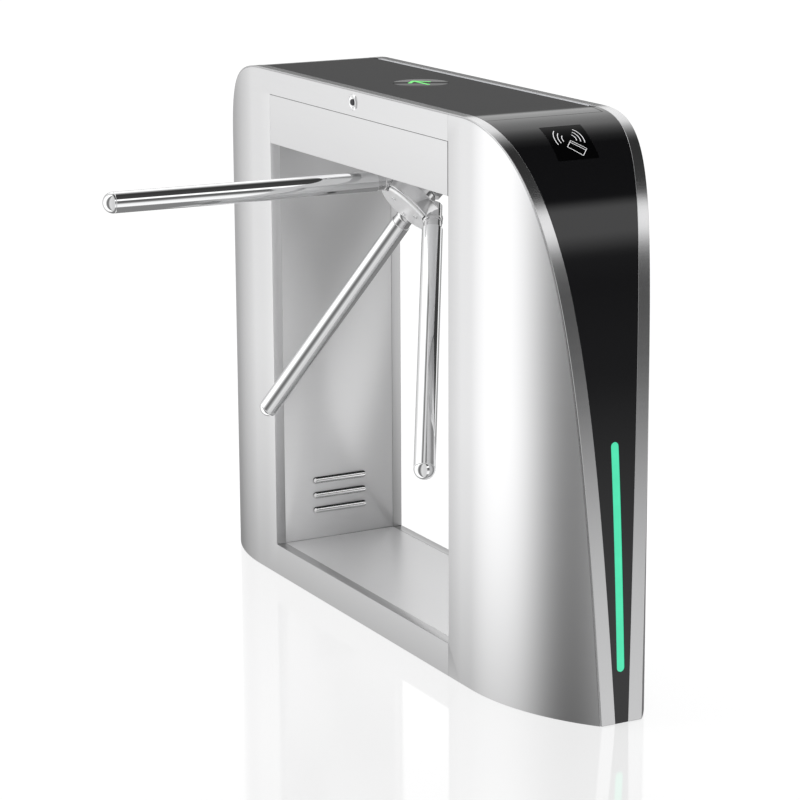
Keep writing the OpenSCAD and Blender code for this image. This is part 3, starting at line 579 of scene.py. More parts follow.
def make_finishes():
    """All the materials, kept by plain names."""
    c = col()
    # foot paints shade onto the side sheets towards the floor
    FINISH["steel"] = brushed("satin_steel", c.steel, 0.30, (1, 1, 40), 12.0, foot=0.46)
    # head paints shade onto the inner walls towards the top, under the beam
    FINISH["wall"] = brushed("satin_wall", PALE_STEEL, 0.30, (1, 1, 40), 12.0, 0.0012, head=0.36, metal=0.45)
    FINISH["steel_flat"] = brushed("satin_steel_flat", c.steel, 0.30, (1, 40, 40), 12.0)
    FINISH["plate"] = brushed("satin_plate", PALE_STEEL, 0.30, (1, 40, 40), 12.0, metal=0.35)
    FINISH["bright"] = brushed("bright_strip", c.bright, 0.17, (30, 1, 30), 10.0)
    FINISH["hub"] = brushed("turned_hub", c.hub, 0.13, (20, 20, 20), 8.0)
    FINISH["face"] = brushed("satin_face", FACE_STEEL, 0.34, (20, 20, 20), 8.0, metal=0.5)
    FINISH["chrome"] = polished("chrome", c.chrome, 0.045)
    FINISH["hood"] = brushed("pressed_hood", HOOD_STEEL, 0.12, (30, 1, 30), 10.0)
    FINISH["black"] = glossy("black_panel", c.black, 0.07)
    FINISH["window"] = glossy("window_glass", [v * 0.3 for v in c.black], 0.04, 0.08)
    FINISH["light"] = glowing("light_strip", c.light, 0.84)
    FINISH["arrow"] = glowing("arrow_glow", c.arrow, 1.0)
    # painted light: the pale printed icon is made to glow, standing in for the light it reflects
    FINISH["icon"] = glowing("icon_print_painted_glow", PRINT, 0.7, 0.8)
    FINISH["frame"] = coated("powder_coat", POWDER_COAT, 0.5)
    FINISH["zinc"] = brushed("zinc_plate", ZINC, 0.34, (12, 12, 12), 30.0)
    FINISH["oxide"] = coated("black_oxide", BLACK_OXIDE, 0.38, 0.9, 500.0)
    FINISH["board"] = coated("circuit_board", BOARD_GREEN, 0.35, 0.0, 300.0)
    FINISH["moulded"] = coated("moulded_black", MOULDED_BLACK, 0.45, 0.0, 900.0)
    FINISH["brass"] = brushed("machined_brass", BRASS, 0.25, (20, 20, 20), 20.0)
    FINISH["copper"] = coated("lacquered_winding", COPPER, 0.35, 0.3, 400.0)
    FINISH["seam"] = coated("seam_shadow", SHADOW, 0.8)


# ---- pieces of the cabinet ----
def folded(skin, side):
    """Rounds a skin's folds and gives it the sheet's thickness, inwards from its outer face."""
    if skin.data.polygons[0].normal.y * side < 0:
        skin.data.flip_normals()
    m = skin.modifiers.new("fold", "BEVEL")
    m.width, m.segments = FOLD_R * MM, 3
    m.limit_method, m.angle_limit = "ANGLE", math.radians(40)
    m = skin.modifiers.new("sheet", "SOLIDIFY")
    m.thickness, m.offset, m.use_even_offset = cab().sheet * MM, -1.0, True
    return bake(skin, CREASE)


def side_sheet(name, side, x0, x1, opening):
    """One side sheet as a folded skin, side -1 in front or +1 behind."""
    c = cab()
    path = top_path(c.trim_t)
    xs = [p[0] for p in path if x0 + 0.5 < p[0] < x1 - 0.5] + [x0, x1]
    if opening:
        xs += [-OPEN_X, OPEN_X]
    xs += [s * v for s in (-1, 1) for v in np.linspace(HALF_L - c.taper, HALF_L, 60) if x0 < s * v < x1]
    xs = sorted(set(round(v, 3) for v in xs if abs(v) <= HALF_L - 0.05))
    px = [p[0] for p in path]
    pz = [p[1] for p in path]
    tops = {x: float(np.interp(x, px, pz)) for x in xs}
    rail_z = TOP - c.rail
    pts, faces, index = [], [], {}

    def add(x, y, z):
        key = (round(x, 3), round(y, 3), round(z, 3))
        if key not in index:
            index[key] = len(pts)
            pts.append((x, y, z))
        return index[key]

    def skin(x, z):
        return add(x, side * half_width(x), z)

    for a, b in zip(xs, xs[1:]):
        in_opening = opening and a >= -OPEN_X - 0.01 and b <= OPEN_X + 0.01
        bands = [(0.0, FLOOR_Z), (FLOOR_Z, rail_z), (rail_z, None)]
        for lo, hi in bands:
            if in_opening and lo == FLOOR_Z:
                continue
            za = tops[a] if hi is None else min(hi, tops[a])
            zb = tops[b] if hi is None else min(hi, tops[b])
            la, lb = min(lo, tops[a]), min(lo, tops[b])
            if za - la < 0.01 and zb - lb < 0.01:
                continue
            ring = [skin(a, la), skin(b, lb), skin(b, zb), skin(a, za)]
            ring = [v for i, v in enumerate(ring) if v not in ring[:i]]
            if len(ring) > 2:
                faces.append(tuple(ring))
    y_out, y_in = side * HALF_W, side * (HALF_W - c.flange)
    if opening:
        sill = [v for v in xs if -OPEN_X - 0.01 <= v <= OPEN_X + 0.01]
        for a, b in zip(sill, sill[1:]):
            faces.append((add(a, y_out, FLOOR_Z), add(b, y_out, FLOOR_Z),
                          add(b, y_in, FLOOR_Z), add(a, y_in, FLOOR_Z)))
    post = -OPEN_X if opening else x0
    faces.append((add(post, y_out, FLOOR_Z), add(post, y_in, FLOOR_Z),
                  add(post, y_in, BEAM_Z), add(post, y_out, rail_z)))
    return folded(solid(name, pts, faces, CREASE), side)


class TURNSTILE_OT_side_sheets(bpy.types.Operator):
    """Side sheets with their folded flanges and the covers of the beam"""
    bl_idname = "turnstile.side_sheets"
    bl_label = "Side sheets"

    def execute(self, context):
        c = cab()
        for side, word in ((-1, "front"), (1, "back")):
            long = side_sheet(f"{word}_long_sheet", side, -HALF_L, OPEN_X, True)
            if side < 0:
                mid = (LOCK_LO + LOCK_HI) / 2
                ring = circle(mid.x, mid.z, BARREL_R + 0.15, 48)
                hole = prism("hole", ring, lambda u, v, w: (u, w, v), (-HALF_W - 5, -HALF_W + 5))
                cut(long, [hole], CREASE)
            dress(long, "cabinet", FINISH["steel"], [f"{word}_side_sheet"])
            short = side_sheet(f"{word}_short_sheet", side, OPEN_X + c.gap, HALF_L, False)
            dress(short, "cabinet", FINISH["steel"], [f"{word}_end_sheet"])
            lo, hi = node_box(f"{word}_cover")
            lo, hi = lo + Vector((c.seam, 0, 0)), hi - Vector((c.seam, 0, c.seam))
            y_out, y_in = side * HALF_W, side * (HALF_W - c.flange)
            pts = [(lo.x, y_out, hi.z), (hi.x, y_out, hi.z), (lo.x, y_out, lo.z),
                   (hi.x, y_out, lo.z), (lo.x, y_in, lo.z), (hi.x, y_in, lo.z)]
            cover = folded(solid(f"{word}_beam_cover", pts, [(0, 1, 3, 2), (2, 3, 5, 4)], CREASE), side)
            dress(cover, "cabinet", FINISH["steel_flat"], [f"{word}_cover"])
            # dark line around the cover, open at the bottom
            y_seam = sorted((side * (HALF_W - 0.6), side * (HALF_W - 1.8)))
            line = 1.2
            z_out = TOP - c.rail - 0.1
            z_in = z_out - 1.4
            left, right = -OPEN_X - 0.2, OPEN_X
            outline = [(left, BEAM_Z), (left, z_out), (right, z_out), (right, BEAM_Z), (right - line, BEAM_Z),
                       (right - line, z_in), (-OPEN_X + line, z_in), (-OPEN_X + line, BEAM_Z)]
            strip = prism(f"{word}_cover_seam", outline, lambda u, v, q: (u, q, v), y_seam)
            dress(strip, "cabinet", FINISH["seam"])
        return {"FINISHED"}


class TURNSTILE_OT_edge_trims(bpy.types.Operator):
    """Bright strips that run over both edges of the cabinet from foot to foot"""
    bl_idname = "turnstile.edge_trims"
    bl_label = "Edge strips"

    def execute(self, context):
        c = cab()
        for side, word in ((-1, "front"), (1, "back")):
            top, low = top_path(0.0), top_path(c.trim_t)
            outer = [[(x, side * half_width(x), z), (x, side * half_width(x, c.trim * 0.5), z),
                      (x, side * half_width(x, c.trim), z)] for x, z in top]
            inner = [[(x, side * half_width(x), z), (x, side * half_width(x, c.trim * 0.5), z),
                      (x, side * half_width(x, c.trim), z)] for x, z in low]
            obj = shell(f"{word}_edge_strip", outer, inner, 40)
            soften(obj, 0.9, 3, 50)
            dress(obj, "cabinet", FINISH["bright"], [f"{word}_edge_trim"])
        return {"FINISHED"}


def crown_grid(ts, d, across, mirror=1.0):
    """Rows of points over the end surface, d inside it; across gives the y values at a point."""
    rows = []
    for t in ts:
        x, z = crown_point(t, d)
        rows.append([(mirror * x, y, z) for y in across(x, z)])
    return rows


def rounded_slot(w, lo, hi, steps=12):
    """Outline of an upright slot with round ends."""
    r = w / 2
    return arc(0, hi - r, r, 0, math.pi, steps + 1) + arc(0, lo + r, r, math.pi, 2 * math.pi, steps + 1)


def reader_frame(mirror=1.0):
    """Centre of the card window, and its directions along the surface and outwards."""
    t = win().reader_at
    x, z = crown_point(t)
    x1, z1 = crown_point(t + 0.001)
    along = Vector((x1 - x, 0, z1 - z)).normalized()
    out = Vector((-along.z, 0, along.x))
    flip = Vector((mirror, 1, 1))
    return Vector((x, 0, z)) * flip, along * flip, out * flip


def slope_t(mirror, distance, lo, hi, steps):
    """Curve parameter of the point that lies a distance along the card window from its centre."""
    centre, along, _ = reader_frame(mirror)
    for _ in range(steps):
        mid = (lo + hi) / 2
        x, z = crown_point(mid)
        if (Vector((mirror * x, 0, z)) - centre).dot(along) < distance:
            lo = mid
        else:
            hi = mid
    return mid


class TURNSTILE_OT_end_panels(bpy.types.Operator):
    """Glossy black end panels with their windows and light strips"""
    bl_idname = "turnstile.end_panels"
    bl_label = "End panels"

    def execute(self, context):
        c, w = cab(), win()
        ts_all = np.linspace(0, 1, 97)
        for mirror, word in ((1.0, "near"), (-1.0, "far")):
            seam = LID_HI.x + 0.6

            def across(x, z):
                h = half_width(x, c.trim + c.gap)
                return [h * v for v in np.linspace(-1, 1, 9)]
            outer = crown_grid(ts_all, c.gap, across, mirror)
            inner = crown_grid(ts_all, c.gap + c.panel_t, across, mirror)
            panel = shell(f"{word}_black_panel", outer, inner, CREASE)
            centre, along, out = reader_frame(mirror)
            r = w.reader / 2
            square = [(-r, -r), (r, -r), (r, r), (-r, r)]
            slot = rounded_slot(w.strip, w.strip_lo, w.strip_hi)
            xs = sorted((mirror * (HALF_L - c.crown - 10), mirror * seam))
            cutters = [
                prism("window_hole", square,
                      lambda u, v, q: centre + along * u + Vector((0, v, 0)) + out * q, (-20, 20)),
                prism("light_hole", slot, lambda u, v, q: (mirror * q, u, v), (HALF_L - 120, HALF_L + 20)),
                box_mesh("corner", (xs[0], -HALF_W, TOP - 60), (xs[1], HINGE_Y - EAR_CLEAR, TOP + 20)),
            ]
            cut(panel, cutters, CREASE)
            soften(panel, 0.5, 2, 50)
            dress(panel, "cabinet", FINISH["black"], [f"{word}_end_panel"])

            # card window
            at = w.reader_at
            ts = [slope_t(mirror, u, max(at - 0.15, 0), at + 0.15, 40)
                  for u in np.linspace(-r + 0.25, r - 0.25, 17)]
            ys = np.linspace(-r + 0.25, r - 0.25, 9)
            outer = crown_grid(ts, c.gap, lambda x, z: ys, mirror)
            inner = crown_grid(ts, c.gap + c.panel_t, lambda x, z: ys, mirror)
            pane = shell(f"{word}_card_window", outer, inner, CREASE)
            soften(pane, 0.4, 2, 50)
            dress(pane, "cabinet", FINISH["window"], [f"{word}_reader_window"])

            # light strip
            hw = w.strip / 2 - 0.15
            zs = []
            for a in np.linspace(0, math.pi / 2, 9):
                zs.append((w.strip_lo + 0.15 + hw * (1 - math.cos(a)), hw * math.sin(a)))
            for z in np.linspace(w.strip_lo + 0.15 + hw, w.strip_hi - 0.15 - hw, 34)[1:-1]:
                zs.append((z, hw))
            for a in np.linspace(math.pi / 2, 0, 9):
                zs.append((w.strip_hi - 0.15 - hw * (1 - math.cos(a)), hw * math.sin(a)))
            outer, inner = [], []
            for z, h in zs:
                h = max(h, 0.05)
                t = crown_t_at_z(z)
                x, _ = crown_point(t, c.gap)
                x2, _ = crown_point(t, c.gap + c.panel_t)
                cols = np.linspace(-1, 1, 9)
                outer.append([(mirror * (x + 0.8 * (1 - v * v) - 0.8), h * v, z) for v in cols])
                inner.append([(mirror * x2, h * v, z) for v in cols])
            strip = shell(f"{word}_light_bar", outer, inner, 50)
            dress(strip, "cabinet", FINISH["light"], [f"{word}_light_strip"])
            card_icon(f"{word}_card_icon", mirror)
        return {"FINISHED"}


def on_window(mirror, u, v, lift):
    """A point on the card window: u across, v up the slope, in millimetres."""
    x, z = crown_point(slope_t(mirror, -v, 0.0, 0.6, 36), cab().gap - lift)
    return (mirror * x, mirror * u, z)


def stroke(mirror, points, width, closed=False):
    """A flat printed line that follows the window's surface."""
    pts, faces = [], []
    ring = points + [points[0]] if closed else points
    for i, p in enumerate(ring):
        a = Vector(ring[max(i - 1, 0)])
        b = Vector(ring[min(i + 1, len(ring) - 1)])
        d = (b - a).normalized()
        n = Vector((-d.y, d.x)) * width / 2
        for s in (-1, 1):
            q = Vector(p) + n * s
            pts.append(on_window(mirror, q.x, q.y, PRINT_LIFT))
    for i in range(len(ring) - 1):
        faces.append((2 * i, 2 * i + 1, 2 * i + 3, 2 * i + 2))
    return solid("stroke", pts, faces)


def card_icon(name, mirror):
    """A tilted plain card between two sets of waves, printed on the window; the print is made to glow with
    painted light.
    """
    strokes = []
    tilt = math.radians(-42)

    def turned(u, v):
        return (6 + u * math.cos(tilt) - v * math.sin(tilt), -16 + u * math.sin(tilt) + v * math.cos(tilt))
    card = [(-15, -9), (15, -9), (15, 9), (-15, 9)]
    edge = [turned(a[0] + (b[0] - a[0]) * k / 6, a[1] + (b[1] - a[1]) * k / 6)
            for a, b in zip(card, card[1:] + card[:1]) for k in range(6)]
    strokes.append(stroke(mirror, edge, 1.0, True))
    strokes.append(stroke(mirror, [turned(-15 + 30 * k / 6, 4.5) for k in range(7)], 1.0))
    for side in (-1, 1):
        for r in (10, 17, 24):
            arc = [(side * (3 + r * math.cos(a)), 4 + 1.25 * r * math.sin(a))
                   for a in np.linspace(-0.35, 0.9, 13)]
            strokes.append(stroke(mirror, arc, 1.3))
    obj = join(name, strokes)
    dress(obj, "cabinet", FINISH["icon"])
    return obj


class TURNSTILE_OT_lid(bpy.types.Operator):
    """Black lid with the round direction window"""
    bl_idname = "turnstile.lid"
    bl_label = "Lid"

    def execute(self, context):
        c, w = cab(), win()
        ys = np.linspace(LID_LO.y, LID_HI.y, 9)
        rows = [p for p in top_path(c.gap) if abs(p[0]) < LID_HI.x - 1]
        t = crown_t_at_x(LID_HI.x)
        edge = crown_point(t, c.gap)
        rows = [(-LID_HI.x, edge[1])] + rows + [(LID_HI.x, edge[1])]
        outer = [[(x, y, z) for y in ys] for x, z in rows]
        inner = [[(x, y, z - c.panel_t) for y in ys] for x, z in rows]
        lid = shell("black_lid", outer, inner, CREASE)
        mid = (WINDOW_LO + WINDOW_HI) / 2
        r = (WINDOW_HI.x - WINDOW_LO.x) / 2 + c.gap
        ring = circle(mid.x, mid.y, r, 96)
        cutters = [prism("window_hole", ring, lambda u, v, q: (u, v, q), (TOP - 20, TOP + 20))]
        for s in (-1, 1):
            xs = sorted((s * w.hinge / 2, s * HALF_L))
            y = HINGE_Y - HINGE_CLEAR
            cutters.append(box_mesh("corner", (xs[0], y, TOP - 40), (xs[1], HALF_W, TOP + 20)))
        cut(lid, cutters, CREASE)
        soften(lid, 0.5, 2, 50)
        dress(lid, "lid", FINISH["black"], ["top_lid"])
        place = Matrix.Translation(Vector((mid.x, mid.y, 0)))
        z = WINDOW_HI.z
        rr = r - c.gap
        profile = [(0, z - 4), (rr - 0.3, z - 4), (rr, z - 3.7), (rr, z - 0.5), (rr - 0.15, z - 0.15),
                   (rr - 0.5, z), (0, z)]
        pane = lathe("direction_window", profile, place, 128, CREASE)
        dress(pane, "lid", FINISH["window"], ["arrow_window"])
        arrow_sign(mid, z)
        return {"FINISHED"}


def arrow_sign(mid, z):
    """A lit arrow behind the direction window's surface, pointing to the far end."""
    bar, length, wing = 3.5, 58.0, 31.0
    shapes = []

    def bar_shape(p, q, h):
        p, q = Vector(p), Vector(q)
        d = (q - p).normalized()
        n = Vector((-d.y, d.x)) * h
        ring = []
        for centre, start in ((q, -math.pi / 2), (p, math.pi / 2)):
            for k in range(9):
                a = start + math.pi * k / 8
                ring.append(centre + d * h * math.cos(a) + n * math.sin(a))
        return [(v.x, v.y) for v in ring]
    tip = (-length / 2, 0)
    spread = 0.7
    ends = [(length / 2, 0)]
    ends += [(-length / 2 + wing * math.cos(s * spread), wing * math.sin(s * spread)) for s in (-1, 1)]
    for k, end in enumerate(ends):
        ring = bar_shape(tip, end, bar)
        depth = (z - 0.5, z + 0.02 + 0.01 * k)
        shapes.append(prism("bar", ring, lambda u, v, q: (mid.x + u, mid.y + v, q), depth))
    sign = join("direction_arrow", shapes)
    dress(sign, "lid", FINISH["arrow"])


class TURNSTILE_OT_opening(bpy.types.Operator):
    """Inner walls with pressed louvres, opening floor and ceiling"""
    bl_idname = "turnstile.opening"
    bl_label = "Opening"

    def execute(self, context):
        c, w = cab(), win()
        for mirror, word in ((-1.0, "far"), (1.0, "near")):
            lo, hi = node_box(f"{word}_inner_wall")
            x_face = mirror * OPEN_X
            xs = sorted((x_face, x_face + mirror * c.sheet))
            wall = box_mesh(f"{word}_wall_sheet", (xs[0], lo.y, lo.z), (xs[1], hi.y, hi.z))
            soften(wall, 0.5, 2)
            pieces, slots = [wall], []
            for i in range(w.louvres):
                z = w.louvre_z + i * w.louvre_pitch
                pieces.append(louvre(f"hood{i}", x_face, -mirror, z))
                slots.append(louvre_slot(f"slot{i}", x_face, -mirror, z))
            dark = dress(join(f"{word}_wall_slots", slots), "cabinet", FINISH["seam"])
            obj = join(f"{word}_wall", pieces)
            dress(obj, "cabinet", FINISH["wall"], [f"{word}_inner_wall"])
            obj.data.materials.append(FINISH["hood"])
            for p in obj.data.polygons:
                p.material_index = int((p.center.x / MM - x_face) * -mirror > 0.4)
        for word in ("floor", "ceiling"):
            lo, hi = node_box(f"opening_{word}")
            plate = box_mesh(f"{word}_plate", lo, hi)
            if word == "ceiling":
                neck_r = 37
                tool = lathe("neck", [(0, -140), (neck_r, -140), (neck_r, 60), (0, 60)], rotor_matrix(), 96)
                cut(plate, [tool])
            soften(plate, 0.5, 2)
            dress(plate, "cabinet", FINISH["plate"], [f"opening_{word}"])
        return {"FINISHED"}


def louvre(name, x_face, out, z):
    """A pressed lip with round ends, fixed to the wall along its lower edge and open at the top."""
    w = win()
    r, half = w.louvre_r, w.louvre_l / 2
    r_in = r - 1.2
    outer, inner = [], []
    ys = [-half + r * (1 - math.cos(a)) for a in np.linspace(0, math.pi / 2, 10)]
    ys = ys + list(np.linspace(-half + r, half - r, 20)[1:-1]) + [-y for y in reversed(ys)]
    for y in ys:
        k = min(half - abs(y), r)
        s = math.sqrt(max(1 - (1 - k / r) ** 2, 0.0004))
        row_o, row_i = [], []
        for a in np.linspace(-0.5 * math.pi, 0.28 * math.pi, 15):
            row_o.append((x_face + out * (0.9 * r * s * math.cos(a) - 0.2), y, z + r * s * math.sin(a)))
            row_i.append((x_face + out * (0.9 * r_in * s * math.cos(a) - 0.2), y, z + r_in * s * math.sin(a)))
        outer.append(row_o)
        inner.append(row_i)
    return shell(name, outer, inner, 50)


def louvre_slot(name, x_face, out, z):
    """The dark opening above a louvre's lip."""
    w = win()
    r, half = w.louvre_r, w.louvre_l / 2
    r_slot = r - 0.6
    ring = []
    for end, start in ((half - r, -math.pi / 2), (-half + r, math.pi / 2)):
        ring += arc(end, 0, r_slot, start, start + math.pi, 13)
    return prism(name, ring, lambda u, v, q: (x_face + out * q, u, z + v), (-1.0, 0.12))


class TURNSTILE_OT_lock(bpy.types.Operator):
    """Round key lock on the top rail"""
    bl_idname = "turnstile.lock"
    bl_label = "Lock"

    def execute(self, context):
        mid = (LOCK_LO + LOCK_HI) / 2
        place = Matrix.Translation(Vector((mid.x, LOCK_LO.y, mid.z)))
        place = place @ Matrix.Rotation(math.radians(-90), 4, "X")
        r, depth = (LOCK_HI.x - LOCK_LO.x) / 2, LOCK_HI.y - LOCK_LO.y
        profile = [(PLUG_R, 4.0), (PLUG_R, 1.9), (7.2, 1.9), (9.6, 0.3), (10.4, 0.0), (11.4, 0.0),
                   (11.6, 0.9), (12.6, 0.9), (12.8, 0.2), (r - 1.0, 0.3), (r, 1.0), (r, 2.45), (BARREL_R, 2.45),
                   (BARREL_R, depth), (PLUG_R, depth), (PLUG_R, 4.0)]
        rose = lathe("lock_rose", profile, place, 96, 25)
        dress(rose, "cabinet", FINISH["chrome"], ["lock_barrel"])
        NODES["lock_plug"].data.materials.clear()
        NODES["lock_plug"].data.materials.append(FINISH["oxide"])
        return {"FINISHED"}


# ---- rotor ----
def rotor_matrix():
    """From the rotor's own frame, Z out along its axis, to the row frame."""
    apex = Vector(JOINTS["rotor_turn"]["pos_m"]) / MM
    return Matrix.Translation(apex) @ Matrix.Rotation(math.radians(90 + rot().tilt), 4, "X")


def arm_matrix(k):
    """From an arm's own frame, Z along the arm, to the row frame."""
    r = rot()
    return (rotor_matrix() @ Matrix.Rotation(math.radians(r.turn + 120 * k), 4, "Z")
            @ Matrix.Rotation(math.radians(-r.tilt), 4, "X"))


class TURNSTILE_OT_arms(bpy.types.Operator):
    """Three tubes with domed end caps"""
    bl_idname = "turnstile.arms"
    bl_label = "Arms"

    def execute(self, context):
        r = rot()
        a, end = r.arm_r, r.reach - r.arm_r
        caps = []
        for k in range(3):
            place = arm_matrix(k)
            profile = [(a - 2, r.start + 40), (a - 2, r.start + 0.6), (a - 1.6, r.start), (a - 0.5, r.start),
                       (a, r.start + 0.6)]
            profile += [(a, s) for s in np.linspace(r.start + 2, end - 1.2, 24)]
            profile += [(a, end - 0.7), (a - 0.35, end - 0.25), (a - 2, end - 0.25), (a - 2, end - 30)]
            tube = lathe(f"arm_tube_{k + 1}", profile, place, 96, 30)
            dress(tube, "rotor", FINISH["chrome"], [f"arm_{k + 1}"])
            tube.visible_glossy = False
            dome = [(a - 2.2, end - 14), (a - 2.2, end - 0.1), (a - 0.5, end + 0.05), (a - 0.08, end + 0.5)]
            dome += arc(0, end, a, 0.04, math.pi / 2, 22)[:-1]
            dome.append((0, end + a))
            caps.append(lathe("cap", dome, place, 96, 30))
        obj = join("arm_caps", caps)
        dress(obj, "rotor", FINISH["chrome"], ["arm_end_caps"])
        obj.visible_glossy = False
        return {"FINISHED"}


class TURNSTILE_OT_hub(bpy.types.Operator):
    """Hub with its neck, spigots, front cap and screws"""
    bl_idname = "turnstile.hub"
    bl_label = "Hub"

    def execute(self, context):
        r = rot()
        place = rotor_matrix()
        hub_r, back, front = r.hub_r, r.hub_back, r.hub_front
        profile = [(14, 29.2), (27.5, 29.2), (28, 29.6), (30.6, 32.2), (31, 33), (31, back - 2),
                   (31.6, back - 0.6), (33, back), (hub_r - 3, back)]
        profile += arc(hub_r - 3, back + 3, 3, 0.2 - math.pi / 2, 0, 5)
        profile += arc(hub_r - 2, front - 2, 2, 0, math.pi / 2, 5)
        profile.append((0, front))
        parts = [lathe("disc", profile, place, 144, 25)]
        s = r.spigot_r
        collar = [(s, 96), (s + 0.9, 96.2), (s + 1.2, 96.8), (s + 1.2, 103), (s + 0.9, 103.6), (s, 103.8)]
        for k in range(3):
            parts.append(lathe("spigot", [(s, 66), (s, r.start + 30)], arm_matrix(k), 96, 25))
            parts.append(lathe("collar", collar, arm_matrix(k), 96, 25))
        dress(join("hub", parts), "rotor", FINISH["hub"], ["hub_body"])

        cap_r = hub_r - 7
        profile = [(0, front), (cap_r, front), (cap_r, front + 1.6)]
        for k in range(6):
            rise = math.sin(k / 5 * math.pi / 2)
            profile.append((cap_r - 6 * k / 5 - 0.2, front + 1.8 + (r.cap_t - 1.9) * rise))
        face = front + r.cap_t
        profile += [(cap_r - 8, face), (0, face)]
        cap = lathe("hub_front", profile, place, 144, 25)
        bore = [(0, 60), (r.arm_r + 0.5, 60), (r.arm_r + 0.5, 260), (0, 260)]
        cut(cap, [lathe("bore", bore, arm_matrix(k), 64) for k in range(3)], 25)
        soften(cap, 0.5, 2, 40)
        dress(cap, "rotor", FINISH["face"], ["hub_cap"])

        rim = [(2.5, -3), (4.5, 0), (4.5, 1.4), (4.1, 2.1), (3.4, 2.4), (2.2, 2.4), (2.0, 2.2),
               (2.0, 0.9), (0, 0.9)]
        head = [(u, face + v) for u, v in rim]
        heads = []
        for k in range(3):
            spot = place @ Matrix.Rotation(math.radians(r.turn + 120 * k - 30), 4, "Z")
            spot = spot @ Matrix.Translation(Vector((r.screw_r, 0, 0)))
            heads.append(lathe("head", head, spot, 48, 25))
        obj = join("hub_screw_heads", heads)
        dress(obj, "rotor", FINISH["chrome"], ["hub_screws"])
        return {"FINISHED"}


class TURNSTILE_OT_inside(bpy.types.Operator):
    """Finishes for the frames, mechanism and electronics inside"""
    bl_idname = "turnstile.inside"
    bl_label = "Inside"

    def execute(self, context):
        finishes = {
            "frame": ["near_frame", "far_frame", "beam_frame"],
            "zinc": ["base_plate", "mechanism_plate", "hinge_leaf", "frame_bolts", "lid_leaf",
                     "centering_spring", "index_gear", "entry_pawl", "exit_pawl", "entry_plunger",
                     "exit_plunger", "main_shaft", "power_supply"],
            "board": ["control_board", "led_boards"],
            "moulded": ["reader_modules", "cable_duct", "encoder_sensor"],
            "hub": ["bearing_housing"],
            "chrome": ["front_bearing", "rear_bearing"],
            "copper": ["solenoid_coils"],
            "oxide": ["damper_body", "shaft_nut", "lock_wheel", "encoder_disc"],
            "brass": ["crank_pinion", "damper_pinion"],
        }
        for finish, names in finishes.items():
            for name in names:
                data = NODES[name].data
                data.materials.clear()
                data.materials.append(FINISH[finish])
        return {"FINISHED"}


# ---- stage ----
def floor_finish():
    """Pale polished floor around the object that runs out into a plain one."""
    m, tree, bsdf = shader("studio_floor")
    cloud = noise(tree, coordinates(tree), 0.6, 2.0, 0.5)
    c = col().floor
    feed(tree, bsdf, Base_Color=mixed(tree, cloud, rgba(c, 0.985), rgba(c, 1.01)), Roughness=0.06, IOR=1.5,
         Emission_Color=grey(1.0), Emission_Strength=0.71)
    way = coordinates(tree, (0.85, 1.1, 1))
    reach = node(tree, "ShaderNodeVectorMath", {"operation": "LENGTH"}, {0: way}).outputs["Value"]
    far = ramp(tree, reach, 0.9, 1.5, 0.0, 1.0, "SMOOTHSTEP")
    pale = tree.nodes.new("ShaderNodeBsdfPrincipled")
    feed(tree, pale, Base_Color=rgba(c), Roughness=0.9, Specular_IOR_Level=0.0,
         Emission_Color=grey(1.0), Emission_Strength=0.90)
    mix = node(tree, "ShaderNodeMixShader", {}, {0: far, 1: bsdf.outputs[0], 2: pale.outputs[0]})
    out = [n for n in tree.nodes if n.bl_idname == "ShaderNodeOutputMaterial"][0]
    tree.links.new(mix.outputs[0], out.inputs[0])
    return m


class TURNSTILE_OT_stage(bpy.types.Operator):
    """Floor, light and camera"""
    bl_idname = "turnstile.stage"
    bl_label = "Stage"

    def execute(self, context):
        bpy.ops.mesh.primitive_plane_add(size=60, location=(0, 0, -0.0005))
        floor = context.active_object
        floor.name = "studio_floor"
        floor.data.materials.append(floor_finish())
        floor.visible_glossy = False
        make_world()
        aim_camera()
        return {"FINISHED"}


# What polished metal sees around it. Degrees about the Y axis from +X over the top for the half behind
# the object, degrees from -Y towards +X for the half in front; brightness beside each.
BEHIND = ((-180, 0.50), (-160, 0.24), (-48, 0.24), (-40, 1.15), (-15, 1.00), (-6, 0.42), (-1, 0.18),
          (12, 0.10), (19, 0.16), (25, 1.40), (35, 1.40), (40, 0.06), (91, 0.04), (101, 0.20), (112, 0.60),
          (124, 1.20), (146, 1.30), (163, 1.10), (168, 0.20), (176, 0.14), (180, 0.50))
IN_FRONT = ((-180, 0.4), (-125, 0.12), (-108, 0.20), (-92, 0.52), (-75, 0.74), (-66, 0.84), (-60, 1.00),
            (-53, 1.25), (-47, 1.48), (-26, 1.48), (-18, 1.12), (-10, 0.62), (-2, 0.26), (6, 0.17),
            (11, 0.18), (18, 0.31), (32, 0.80), (70, 0.7), (100, 0.8), (180, 0.5))
RAMP_TOP = 1.5


def around(tree, angle, stops):
    """Brightness along a circle of directions, from an angle in radians."""
    stops = [((d + 180) / 360, grey(v / RAMP_TOP)) for d, v in stops]
    place = ramp(tree, angle, -math.pi, math.pi, 0.0, 1.0)
    shade = node(tree, "ShaderNodeValToRGB", {"stops": stops}, {0: place})
    return Sock(tree, shade.outputs[0]) * RAMP_TOP


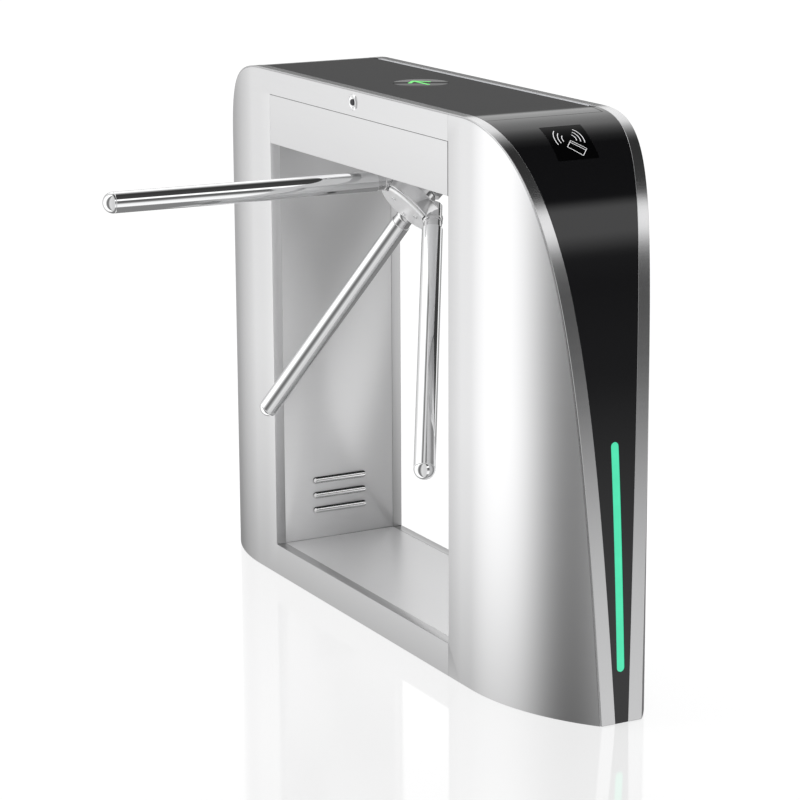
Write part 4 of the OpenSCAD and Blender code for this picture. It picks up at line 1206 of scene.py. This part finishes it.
def make_world():
    """Plain white to the camera; broad soft boxes and darker corners for the metal to reflect."""
    scene = bpy.context.scene
    world = bpy.data.worlds.new("studio")
    scene.world = world
    world.use_nodes = True
    tree = world.node_tree
    tree.nodes.clear()
    way = node(tree, "ShaderNodeTexCoord").outputs["Generated"]
    split = node(tree, "ShaderNodeSeparateXYZ", {}, {0: way}).outputs
    x, y, z = (Sock(tree, v) for v in split)
    behind = around(tree, x.apply("ARCTAN2", z, x), BEHIND)
    front = around(tree, x.apply("ARCTAN2", x, y * -1.0), IN_FRONT)
    side = ramp(tree, y, -0.12, 0.12, 0.0, 1.0, "SMOOTHSTEP")
    seen = behind * side + front * (1.0 - side)
    straight = Sock(tree, node(tree, "ShaderNodeLightPath").outputs["Is Camera Ray"])
    value = straight + seen * (1.0 - straight)
    bg = node(tree, "ShaderNodeBackground", {}, {"Color": (1, 1, 1, 1), "Strength": value})
    out = node(tree, "ShaderNodeOutputWorld")
    tree.links.new(bg.outputs[0], out.inputs[0])
    scene.view_settings.view_transform = "Standard"


def aim_camera():
    """Camera above and to the near left of the object, level with a tall visitor's eyes."""
    scene = bpy.context.scene
    data = bpy.data.cameras.new("camera")
    cam = bpy.data.objects.new("camera", data)
    scene.collection.objects.link(cam)
    scene.camera = cam
    az, el, roll = math.radians(62.056), math.radians(13.70), math.radians(-0.313)
    distance, target = 5.35399, Vector((-0.090926, 0, 0.391625))
    back = Vector((math.sin(az) * math.cos(el), -math.cos(az) * math.cos(el), math.sin(el)))
    right = Vector((math.cos(az), math.sin(az), 0))
    up = back.cross(right)
    turned_right = right * math.cos(roll) + up * math.sin(roll)
    turned_up = up * math.cos(roll) - right * math.sin(roll)
    m = Matrix((turned_right, turned_up, back)).transposed().to_4x4()
    m.translation = target + back * distance
    cam.matrix_world = m
    data.sensor_width = 36.0
    data.lens = 127.37
    data.clip_start, data.clip_end = 0.1, 100.0


class TURNSTILE_PT_panel(bpy.types.Panel):
    """Lists the steps"""
    bl_label = "Turnstile"
    bl_idname = "TURNSTILE_PT_panel"
    bl_space_type = "VIEW_3D"
    bl_region_type = "UI"
    bl_category = "Turnstile"

    def draw(self, context):
        for op in OPERATORS:
            self.layout.operator(op.bl_idname)
        for key in SIZE_GROUPS:
            group = getattr(context.scene, key)
            column = self.layout.column()
            for prop in group.bl_rna.properties:
                if not prop.is_readonly and prop.identifier not in {"name"}:
                    column.prop(group, prop.identifier)


OPERATORS = (TURNSTILE_OT_side_sheets, TURNSTILE_OT_edge_trims, TURNSTILE_OT_end_panels,
             TURNSTILE_OT_lid, TURNSTILE_OT_opening, TURNSTILE_OT_lock, TURNSTILE_OT_arms,
             TURNSTILE_OT_hub, TURNSTILE_OT_inside, TURNSTILE_OT_stage)
CLASSES = tuple(SIZE_GROUPS.values()) + OPERATORS + (TURNSTILE_PT_panel,)


def register():
    for c in CLASSES:
        bpy.utils.register_class(c)
    for key, group in SIZE_GROUPS.items():
        setattr(bpy.types.Scene, key, PointerProperty(type=group))


def unregister():
    for key in SIZE_GROUPS:
        delattr(bpy.types.Scene, key)
    for c in reversed(CLASSES):
        bpy.utils.unregister_class(c)


def main():
    register()
    make_finishes()
    for op in OPERATORS:
        area, name = op.bl_idname.split(".")
        getattr(getattr(bpy.ops, area), name)()


if __name__ == "__main__":
    main()
